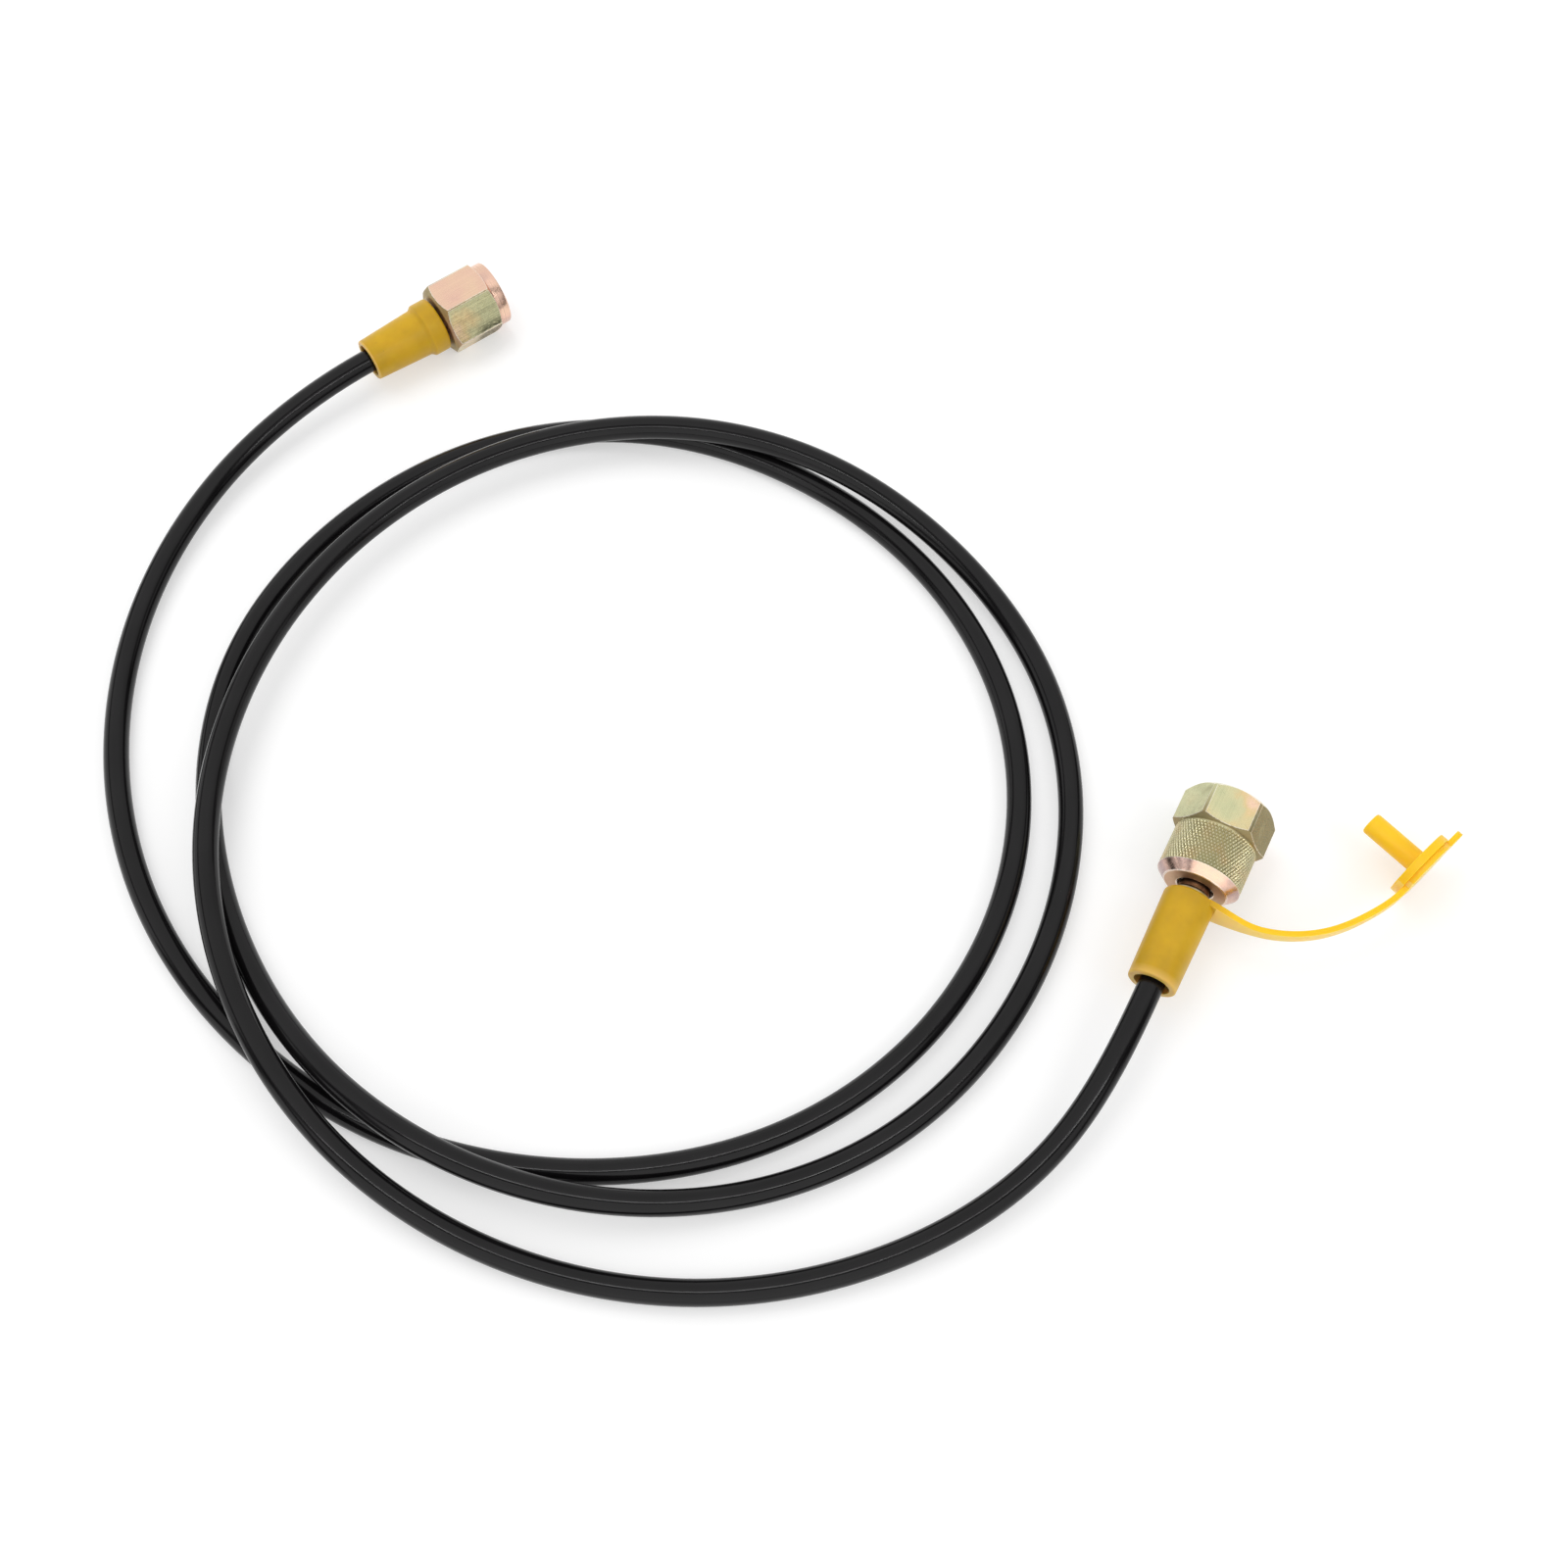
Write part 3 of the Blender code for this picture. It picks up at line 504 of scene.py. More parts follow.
@dataclass(frozen=True)
class MouldedYellow:
    """Soft PVC, injection moulded: satin, slightly translucent, with painted light: a brighter
    yellow where it is thin and paler on the strap's outer face.
    """

    name: str
    axis: FittingAxis
    cloud: float = 7.0 * MM
    grain: float = 0.25 * MM
    roughness: float = 0.40

    def material(self) -> bpy.types.Material:
        """Make the material.

        Returns:
            The material.
        """
        material, add, feed_shader = new_material(self.name)
        local = on_axis(add, self.axis)
        light_through_thin, outer, wear = (add("Attribute", attribute_name=name).outputs["Fac"]
                                 for name in ("thin", "outer", "wear"))
        clouds = add("TexNoise", {"Vector": local, "Scale": 1 / self.cloud, "Detail": 3.0,
                                  "Roughness": 0.5})
        body = add("ValToRGB", (clouds,), [(0.30, "#be960f"), (0.50, "#c99f10"), (0.72, "#d2a714")])
        # Painted light: where the moulding is thin, on the strap and plug, it is painted a brighter
        # yellow for the light that shines through it.
        thin = add("Mix", {SHARE: clouds, COLOUR_A: linear("#ffc60e"),
                           COLOUR_B: linear("#ffce1c")}, data_type="RGBA")
        coloured = add("Mix", {SHARE: light_through_thin, COLOUR_A: body, COLOUR_B: thin}, data_type="RGBA")
        # Painted light: the strap's outer face is painted paler, for the light it catches from the
        # table and through the plastic.
        lit_outer_face = add("Mix", {SHARE: add("Math", (outer, 0.85), operation="MULTIPLY"),
                               COLOUR_A: coloured, COLOUR_B: linear("#ffd974")}, data_type="RGBA")

        # Handling marks: a few grey smudges well under a millimetre wide
        touched = add("VectorMath", (local, per(0.9 * MM, 0.9 * MM, 0.6 * MM)),
                      operation="MULTIPLY")
        spots = add("TexNoise", {"Vector": touched, "Scale": 1.0, "Detail": 2.0, "Roughness": 0.5})
        smudge = add("MapRange", (spots, 0.72, 0.80, 0.0, 0.40), interpolation_type="SMOOTHSTEP")
        marked = add("Mix", {SHARE: smudge, COLOUR_A: lit_outer_face, COLOUR_B: linear("#7c6a3a")},
                     data_type="RGBA")
        # Painted highlight: the rim round the mouth is painted pale, for the light that it catches.
        glinting_rim = add("Mix", {SHARE: add("Math", (wear, 0.38), operation="MULTIPLY"),
                            COLOUR_A: marked, COLOUR_B: linear("#f2cc84")}, data_type="RGBA")

        rough = add("MapRange", (clouds, 0.3, 0.7, self.roughness - 0.05, self.roughness + 0.07),
                    interpolation_type="SMOOTHSTEP")
        fine = add("TexNoise", {"Vector": local, "Scale": 1 / self.grain, "Detail": 2.0,
                                "Roughness": 0.5})
        bump = add("Bump", {"Height": fine, "Strength": 0.10, "Distance": 0.05 * MM})
        waves = add("Bump", {"Height": clouds, "Strength": 0.20, "Distance": 0.3 * MM,
                             "Normal": bump})
        feed_shader({"Base Color": glinting_rim, "Roughness": rough, "IOR": 1.53, "Normal": waves,
                     "Subsurface Weight": 0.55, "Subsurface Radius": (1.0, 0.62, 0.12),
                     "Subsurface Scale": 1.8 * MM, "Specular IOR Level": 0.35,
                     "Sheen Weight": 0.06, "Sheen Roughness": 0.30,
                     "Sheen Tint": linear("#ffe7a6")})
        return material


@dataclass(frozen=True)
class HoseJacket:
    """Black polyamide jacket, extruded: satin, with faint lines along the hose from the die."""

    name: str = "black polyamide jacket"
    length: float = 1.754
    girth: float = 0.0188
    roughness: float = 0.13

    def material(self) -> bpy.types.Material:
        """Make the material, on the tube's own UV map, which runs from 0 to 1 both ways.

        Returns:
            The material.
        """
        material, add, feed_shader = new_material(self.name)
        metres = add("VectorMath", (add("UVMap"), (self.length, self.girth, 1.0)),
                     operation="MULTIPLY")
        drawn, wide, dusty = (add("VectorMath", (metres, per(along * MM, around * MM, 1.0)),
                                  operation="MULTIPLY")
                              for along, around in ((60, 0.35), (18, 5), (0.7, 0.7)))
        lines = add("TexNoise", {"Vector": drawn, "Scale": 1.0, "Detail": 3.0, "Roughness": 0.6})
        clouds = add("TexNoise", {"Vector": wide, "Scale": 1.0, "Detail": 2.0, "Roughness": 0.5})
        specks = add("TexNoise", {"Vector": dusty, "Scale": 1.0, "Detail": 3.0, "Roughness": 0.6})
        colour = add("ValToRGB", (clouds,), [(0.3, "#0c0b0c"), (0.5, "#100f10"), (0.7, "#141314")])
        dust = add("MapRange", (specks, 0.68, 0.80, 0.0, 0.10), interpolation_type="SMOOTHSTEP")
        dusted = add("Mix", {SHARE: dust, COLOUR_A: colour, COLOUR_B: linear("#8a8785")},
                     data_type="RGBA")
        rough = add("MapRange", (lines, 0.3, 0.7, self.roughness - 0.04, self.roughness + 0.06),
                    interpolation_type="SMOOTHSTEP")
        bump = add("Bump", {"Height": lines, "Strength": 0.08, "Distance": 0.03 * MM})
        waves = add("Bump", {"Height": clouds, "Strength": 0.3, "Distance": 0.12 * MM,
                             "Normal": bump})
        feed_shader({"Base Color": dusted, "Roughness": rough, "IOR": 1.45,
                     "Specular IOR Level": 0.29, "Normal": waves})
        return material


@dataclass(frozen=True)
class PlainFinish:
    """A finish of one colour with a fine grain, for what lies inside.

    Attributes:
        name: what the real material is.
        low: darker sRGB hex colour.
        high: lighter sRGB hex colour.
        grain: size of the grain.
        roughness: roughness of the surface.
        metallic: 1 for bare metal.
    """

    name: str
    low: str
    high: str
    grain: float
    roughness: float
    metallic: float = 0.0

    def material(self) -> bpy.types.Material:
        """Make the material.

        Returns:
            The material.
        """
        material, add, feed_shader = new_material(self.name)
        grains = add("TexNoise", {"Vector": add("TexCoord").outputs["Object"],
                                  "Scale": 1 / self.grain, "Detail": 3.0, "Roughness": 0.6})
        colour = add("ValToRGB", (grains,), [(0.3, self.low), (0.7, self.high)])
        bump = add("Bump", {"Height": grains, "Strength": 0.15, "Distance": 0.03 * MM})
        feed_shader({"Base Color": colour, "Metallic": self.metallic,
                     "Roughness": self.roughness, "Normal": bump})
        return material


SPRING_STEEL = PlainFinish("drawn spring steel wire", "#5c5853", "#8a867f", 0.3 * MM, 0.30, 1.0)
NITRILE = PlainFinish("moulded nitrile rubber", "#141414", "#1f1f1f", 0.2 * MM, 0.55)
ACETAL = PlainFinish("turned white acetal", "#cfcabd", "#dedacf", 0.4 * MM, 0.42)


def arc(centre: Point2, radius: float, start_deg: float, end_deg: float,
        count: int = 7) -> list[Point2]:
    """Points on a rounded corner of a turned outline.

    Args:
        centre: radius and height of the arc's centre.
        radius: radius of the arc.
        start_deg: first angle, from the radial direction.
        end_deg: last angle.
        count: number of points.

    Returns:
        Points as (radius, height).
    """
    angles = np.radians(np.linspace(start_deg, end_deg, count))
    return [(centre[0] + radius * math.cos(angle), centre[1] + radius * math.sin(angle))
            for angle in angles]


def rows(start: Point2, end: Point2, spacing: float) -> list[Point2]:
    """Evenly spaced points on a straight stretch of an outline, its start and end included."""
    count = max(2, math.ceil(math.dist(start, end) / spacing) + 1)
    return [tuple(point) for point in np.linspace(start, end, count)]


def cone_length(wide: float, narrow: float, angle_deg: float = 30.0) -> float:
    """Length of a chamfer between two radii, from its angle to the end face."""
    return (wide - narrow) * math.tan(math.radians(angle_deg))


def spun(outline: Sequence[Point2], steps: int = TURNED_STEPS,
         closed: bool = True) -> bmesh.types.BMesh:
    """Turn an outline once round local Z.

    Args:
        outline: points as (radius, height), down the outer side and back up the bore.
        steps: facets round.
        closed: whether the last point joins the first, where there is a bore.

    Returns:
        The turned mesh.
    """
    shape = bmesh.new()
    points = [shape.verts.new((radius, 0.0, height)) for radius, height in outline]
    pairs = list(zip(points, points[1:]))
    if closed:
        pairs.append((points[-1], points[0]))
    edges = [shape.edges.new(pair) for pair in pairs]
    bmesh.ops.spin(shape, geom=points + edges, cent=(0, 0, 0), axis=(0, 0, 1), dvec=(0, 0, 0),
                   angle=2 * math.pi, steps=steps, use_merge=True, use_duplicate=False)
    bmesh.ops.remove_doubles(shape, verts=shape.verts, dist=WELD)
    bmesh.ops.recalc_face_normals(shape, faces=shape.faces)
    return shape


def set_values(shape: bmesh.types.BMesh, name: str,
               value: Callable[[bmesh.types.BMVert], float]) -> None:
    """Give every point of a mesh a value under a name.

    Args:
        shape: the mesh.
        name: name of the value.
        value: what gives a point its value.
    """
    layer = shape.verts.layers.float.get(name) or shape.verts.layers.float.new(name)
    for vert in shape.verts:
        vert[layer] = value(vert)


def radius_of_point(point: Vector) -> float:
    """Distance of a place from local Z."""
    return math.hypot(point.x, point.y)


def radius_of(vert: bmesh.types.BMVert) -> float:
    """Distance of a mesh point from local Z."""
    return radius_of_point(vert.co)


def set_radius(vert: bmesh.types.BMVert, radius: float) -> None:
    """Move a point straight out or in to a radius.

    Args:
        vert: the point.
        radius: its new distance from local Z.
    """
    scale = radius / radius_of(vert)
    vert.co.x *= scale
    vert.co.y *= scale


def as_mesh(name: str, shape: bmesh.types.BMesh) -> bpy.types.Mesh:
    """Turn a working mesh, which is used up, into a mesh of the file.

    Args:
        name: name of the mesh.
        shape: the working mesh.

    Returns:
        The mesh.
    """
    mesh = bpy.data.meshes.new(name)
    shape.to_mesh(mesh)
    shape.free()
    return mesh


def linked(name: str, data: bpy.types.ID) -> bpy.types.Object:
    """Make an object of a mesh, curve, lamp or camera and link it to the scene.

    Args:
        name: name of the object.
        data: what it holds.

    Returns:
        The object.
    """
    thing = bpy.data.objects.new(name, data)
    bpy.context.scene.collection.objects.link(thing)
    return thing


def finished(name: str, shape: bmesh.types.BMesh, place: Matrix, material: bpy.types.Material,
             sharp_deg: float = 28.0) -> bpy.types.Object:
    """Put a mesh in its place and make it an object at the origin.

    Args:
        name: name of the piece.
        shape: the mesh, which is used up.
        place: matrix from the mesh's own axes to the world's.
        material: its material.
        sharp_deg: angle from which an edge stays sharp.

    Returns:
        The object.
    """
    bmesh.ops.transform(shape, matrix=place, verts=shape.verts)
    return as_object(name, as_mesh(name, shape), material, sharp_deg)


def as_object(name: str, mesh: bpy.types.Mesh, material: bpy.types.Material,
              sharp_deg: float) -> bpy.types.Object:
    """Shade a mesh smooth up to an angle, give it its material and link its object.

    Args:
        name: name of the object.
        mesh: its mesh, in its place.
        material: its material.
        sharp_deg: angle from which an edge stays sharp.

    Returns:
        The object.
    """
    mesh.shade_smooth()
    mesh.set_sharp_from_angle(angle=math.radians(sharp_deg))
    milled = mesh.attributes.get("flat")
    if milled:
        for polygon in mesh.polygons:
            polygon.use_smooth = milled.data[polygon.index].value < (FLAT + FLAT_EDGE) / 2
    mesh.materials.clear()
    mesh.materials.append(material)
    return linked(name, mesh)


def seat(thing: bpy.types.Object, body: Body, node: str) -> bpy.types.Object:
    """Let a piece ride on a body in place of the CAD node that it stands for, which is hidden.

    Args:
        thing: the piece.
        body: body that it rides on.
        node: CAD node that it stands for.

    Returns:
        The piece.
    """
    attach(thing, body.value)
    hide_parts(node)
    LOG.info("%s stands for %s on %s", thing.name, node, body.value)
    return thing


def smooth_line(points: Sequence[Point3], start_way: Point3, end_way: Point3,
                count: int) -> list[tuple[float, ...]]:
    """Points on a cubic spline that leaves and arrives along given directions.

    Args:
        points: points that the line passes through.
        start_way: direction in which it leaves.
        end_way: direction in which it arrives.
        count: number of points.

    Returns:
        The points, evenly spaced.
    """
    knots = np.array(points, dtype=float)
    steps = np.linalg.norm(np.diff(knots, axis=0), axis=1)
    places = np.concatenate([[0.0], np.cumsum(steps)])
    slopes = np.diff(knots, axis=0) / steps[:, None]
    size = len(knots)
    matrix = np.zeros((size, size))
    right = np.zeros_like(knots)
    matrix[0, 0], matrix[0, 1] = 2 * steps[0], steps[0]
    matrix[-1, -1], matrix[-1, -2] = 2 * steps[-1], steps[-1]
    right[0] = 6 * (slopes[0] - np.array(start_way))
    right[-1] = 6 * (np.array(end_way) - slopes[-1])
    for row in range(1, size - 1):
        matrix[row, row - 1] = steps[row - 1]
        matrix[row, row] = 2 * (steps[row - 1] + steps[row])
        matrix[row, row + 1] = steps[row]
        right[row] = 6 * (slopes[row] - slopes[row - 1])
    bends = np.linalg.solve(matrix, right)
    line = []
    for place in np.linspace(0.0, places[-1], count):
        span = min(int(np.searchsorted(places, place, side="right")) - 1, size - 2)
        step = steps[span]
        ahead = (place - places[span]) / step
        behind = 1 - ahead
        curve = (behind ** 3 - behind) * bends[span] + (ahead ** 3 - ahead) * bends[span + 1]
        line.append(behind * knots[span] + ahead * knots[span + 1] + curve * step ** 2 / 6)
    return [tuple(float(value) for value in point) for point in line]


def tube_mesh(name: str, line: Iterable[Point3], radius: float, roundness: int) -> bpy.types.Mesh:
    """Mesh of a round tube along a line, with its ends closed and its own UV map.

    Args:
        name: name of the mesh.
        line: places along the middle of the tube.
        radius: radius of the tube.
        roundness: how finely it is rounded.

    Returns:
        The mesh.
    """
    curve = bpy.data.curves.new(name, "CURVE")
    curve.dimensions = "3D"
    curve.bevel_depth = radius
    curve.bevel_resolution = roundness
    curve.use_fill_caps = True
    places = list(line)
    spline = curve.splines.new("POLY")
    spline.points.add(len(places) - 1)
    for point, place in zip(spline.points, places):
        point.co = (*place, 1.0)
    guide = linked(name, curve)
    depsgraph = bpy.context.evaluated_depsgraph_get()
    mesh = bpy.data.meshes.new_from_object(guide.evaluated_get(depsgraph))
    bpy.data.objects.remove(guide)
    bpy.data.curves.remove(curve)
    shape = bmesh.new()
    shape.from_mesh(mesh)
    bmesh.ops.remove_doubles(shape, verts=shape.verts, dist=WELD)
    bmesh.ops.recalc_face_normals(shape, faces=shape.faces)
    shape.to_mesh(mesh)
    shape.free()
    mesh.name = name
    return mesh


@dataclass
class TestHose:
    """The hose itself: 6 mm microbore tube, from inside one ferrule to inside the other."""

    diameter: float = 0.0060
    end_setback: float = -0.0045
    gauge_mouth: float = -0.0217
    test_mouth: float = -0.0260
    points: int = 700
    roundness: int = 7
    jacket: HoseJacket = field(default_factory=HoseJacket)

    def centre_line(self) -> list[tuple[float, ...]]:
        """Centre line: straight in both fittings and smooth along its route between.

        Returns:
            Places along it, from the gauge end to the test end.
        """
        first, last = GAUGE_AXIS.at(self.end_setback), TEST_AXIS.at(self.end_setback)
        knots = [tuple(GAUGE_AXIS.at(self.gauge_mouth)), *HOSE_ROUTE,
                 tuple(TEST_AXIS.at(self.test_mouth))]
        line = smooth_line(knots, tuple(-GAUGE_AXIS.forward()), tuple(TEST_AXIS.forward()),
                           self.points)
        lying = [(x, y, max(z, self.diameter / 2)) for x, y, z in line]
        return [tuple(first), *lying, tuple(last)]

    def build(self) -> bpy.types.Object:
        """Returns:
            The hose.
        """
        line = self.centre_line()
        mesh = tube_mesh("hose_tube", line, self.diameter / 2, self.roundness)
        hose = as_object("hose_tube", mesh, self.jacket.material(), 40.0)
        seat(hose, Body.ROOT, "hose")
        return hose


@dataclass
class HoseTail:
    """Tail of a stem, the same at both ends: journal, crimp groove, collar and barbs."""

    neck: float = 0.00375
    bore: float = 0.0007
    ferrule_front: float = -0.0015
    ferrule_wall: float = 0.0012
    ferrule_length: float = 0.0150
    groove: float = 0.0023
    collar: float = 0.0030
    collar_length: float = 0.0012
    barb: float = 0.00135
    barb_root: float = 0.00112
    barb_pitch: float = 0.0024
    barb_count: int = 4
    wire_radius: float = 0.0008
    wire_ring: float = 0.0042
    wire_gap_deg: float = 32.0
    play: float = 0.0010
    hose_radius: float = 0.0030
    crimps: int = 8
    crimp_depth: float = 0.12 * MM

    def collar_top(self) -> float:
        """Height of the collar's front face."""
        return self.ferrule_front - self.ferrule_wall - GAP

    def outline(self, groove_low: float, groove_high: float) -> list[Point2]:
        """Outer side of a stem from its head's rear face down to the tip of its tail.

        Args:
            groove_low: lower end of the wire's groove.
            groove_high: upper end of the wire's groove.

        Returns:
            Points as (radius, height).
        """
        groove = self.wire_ring - self.wire_radius - GAP
        neck_end = self.ferrule_front + GAP
        top = self.collar_top()
        line = [(self.neck, groove_high), (groove, groove_high), (groove, groove_low),
                (self.neck, groove_low), (self.neck, neck_end), (self.groove, neck_end),
                (self.groove, top), (self.collar, top), (self.collar, top - self.collar_length)]
        crest = top - self.collar_length - self.barb_pitch / 2
        line.append((self.barb_root, crest + self.barb_pitch / 2))
        for _ in range(self.barb_count):
            line += [(self.barb_root, crest), (self.barb, crest - 0.05 * MM)]
            crest -= self.barb_pitch
        tip = top - self.collar_length - self.barb_pitch * (self.barb_count + 1)
        return line + [(self.barb_root, crest + 0.05 * MM), (self.bore, tip)]

    def ferrule(self, name: str, axis: FittingAxis, node: str) -> bpy.types.Object:
        """Make a crimp ferrule: a cup hooked in the stem's groove.

        Args:
            name: name of the piece.
            axis: fitting that it belongs to.
            node: CAD node that it stands for.

        Returns:
            The object.
        """
        front, back = self.ferrule_front, self.ferrule_front - self.ferrule_length
        inside = self.hose_radius + GAP
        outside = inside + self.ferrule_wall
        edge = self.ferrule_wall / 3
        line = [(outside - edge, front), (outside, front - edge)]
        line += rows((outside, front - edge), (outside, back + edge), 0.5 * MM)[1:]
        line += [(outside - edge, back), (inside, back), (inside, front - self.ferrule_wall),
                 (self.groove + GAP, front - self.ferrule_wall), (self.groove + GAP, front)]
        shape = spun(line)
        crimp_low, crimp_high = back + 2.5 * MM, front - 3.0 * MM
        for vert in shape.verts:
            if radius_of(vert) > outside - SAME and crimp_low < vert.co.z < crimp_high:
                turn = math.atan2(vert.co.y, vert.co.x) * self.crimps
                set_radius(vert, outside - self.crimp_depth * (1 - math.cos(turn)) / 2)
        # The front rim is painted pale: a painted highlight for the light ring at the ferrule's
        # end.
        set_values(shape, "wear", lambda vert: float(vert.co.z > front - edge / 2
                                                     and radius_of(vert) > outside - 2 * edge))
        finish = BrownedZinc(name + " in dull zinc plate", axis,
                             "#8d8066", "#b5a583", "#cdbd9c").material()
        return seat(finished(name, shape, axis.place(), finish), Body.ROOT, node)

    def retaining_wire(self, name: str, height: float, axis: FittingAxis, body: Body,
                       node: str) -> bpy.types.Object:
        """Make the sprung ring, open at the top, that holds a nut on its stem.

        Args:
            name: name of the piece.
            height: place of the ring along the fitting's axis.
            axis: fitting that it belongs to.
            body: body that it rides on.
            node: CAD node that it stands for.

        Returns:
            The object.
        """
        half = self.wire_gap_deg / 2
        angles = np.radians(np.linspace(90 + half, 450 - half, 73))
        ring = [(self.wire_ring * math.cos(angle), self.wire_ring * math.sin(angle), height)
                for angle in angles]
        line = [tuple(axis.place() @ Vector(point)) for point in ring]
        mesh = tube_mesh(name, line, self.wire_radius, 4)
        return seat(as_object(name, mesh, SPRING_STEEL.material(), 40.0), body, node)


@dataclass
class Nut:
    """A hexagonal nut turned from drawn bar: what both nuts have in common."""

    flats: float
    length: float
    rear_bore: float
    rear_wall: float
    wire_height: float
    thread_crest: float
    thread_root: float
    thread_pitch: float
    steps: int
    mouth_chamfer: float = 0.8 * MM
    rubbed_glinting_edge: float = 0.12 * MM
    tail: HoseTail = field(default_factory=HoseTail)

    def bore_outline(self) -> list[Point2]:
        """Inner side, from the rear face up to the mouth, with the groove for the wire.

        Returns:
            Points as (radius, height).
        """
        half = self.tail.wire_radius + GAP
        groove = self.tail.wire_ring + half
        low, high = self.wire_height - half, self.wire_height + half
        broken = 0.2 * MM
        line = [(self.rear_bore + broken + self.rubbed_glinting_edge, 0.0), (self.rear_bore + broken, 0.0),
                (self.rear_bore, broken), (self.rear_bore, low),
                (groove, low), (groove, high), (self.rear_bore, high),
                (self.rear_bore, self.rear_wall)]
        return line + rows((self.thread_crest, self.rear_wall),
                           (self.thread_crest, self.length - self.mouth_chamfer),
                           self.thread_pitch / 8)

    def cut_thread(self, shape: bmesh.types.BMesh) -> None:
        """Press the thread's groove into the bore and mark its depth.

        Args:
            shape: mesh of the nut.
        """
        layer = shape.verts.layers.float.get("recess") or shape.verts.layers.float.new("recess")
        start = self.rear_wall + 2.4 * MM
        end = self.length - self.mouth_chamfer - 0.05 * MM
        depth = self.thread_root - self.thread_crest
        for vert in shape.verts:
            on_bore = abs(radius_of(vert) - self.thread_crest) <= SAME
            if not on_bore or not start < vert.co.z < end:
                continue
            turn = math.atan2(vert.co.y, vert.co.x) / (2 * math.pi)
            phase = (vert.co.z / self.thread_pitch - turn) % 1.0
            cut = min(1.0, max(0.0, 1.25 - abs(2 * phase - 1) * 1.5))
            ease = min(1.0, (vert.co.z - start) / (0.5 * MM))
            set_radius(vert, self.thread_crest + depth * cut * ease)
            vert[layer] = 0.8 * cut * ease

    def mill_flats(self, shape: bmesh.types.BMesh) -> None:
        """Cut the six flats, break their edges and mark them for the finish, with the band round
        each flat to be painted pale as rubbed zinc and painted highlight.

        Args:
            shape: mesh of the nut.
        """
        flat_layer = shape.faces.layers.float.new("flat")
        tint_layer = shape.faces.layers.float.get("tint")
        wear = shape.verts.layers.float["wear"]
        for index in range(6):
            angle = math.radians(30 + 60 * index)
            way = Vector((math.cos(angle), math.sin(angle), 0.0))
            cut = bmesh.ops.bisect_plane(shape, geom=[*shape.verts, *shape.edges, *shape.faces],
                                         dist=1e-7, plane_co=way * self.flats / 2, plane_no=way,
                                         clear_outer=True)
            rim = [item for item in cut["geom_cut"] if isinstance(item, bmesh.types.BMEdge)]
            filled = bmesh.ops.edgeloop_fill(shape, edges=rim)["faces"]
            for face in filled:
                face[flat_layer] = FLAT
                face[tint_layer] = self.flat_tint(index).value
        shape.normal_update()
        flats = [face for face in shape.faces if face[flat_layer] > 0.5]
        # The band round each flat is painted pale: rubbed zinc and a painted highlight of the
        # broken edge.
        for vert in {vert for face in flats for vert in face.verts}:
            vert[wear] = 1.0
        edges = bmesh.ops.inset_individual(shape, faces=flats, thickness=self.rubbed_glinting_edge,
                                           depth=0.0, use_even_offset=True)["faces"]
        for face in edges:
            face[flat_layer] = FLAT_EDGE
        for vert in {vert for face in flats for vert in face.verts}:
            vert[wear] = 0.0
        bmesh.ops.poke(shape, faces=flats)

    def flat_tint(self, index: int) -> Tint:
        """Colour of the plating on one flat."""
        return (Tint.GREEN, Tint.PEACH, Tint.GOLD, Tint.GREEN, Tint.GOLD, Tint.PINK)[index]

    def start_layers(self, shape: bmesh.types.BMesh, tint: Callable[[Vector], Tint]) -> None:
        """Give a blank the values that its finish reads.

        Args:
            shape: mesh of the blank.
            tint: what gives a face its tint from its middle.
        """
        for name in ("wear", "recess"):
            set_values(shape, name, lambda vert: 0.0)
        layer = shape.faces.layers.float.new("tint")
        for face in shape.faces:
            face[layer] = tint(face.calc_center_median()).value


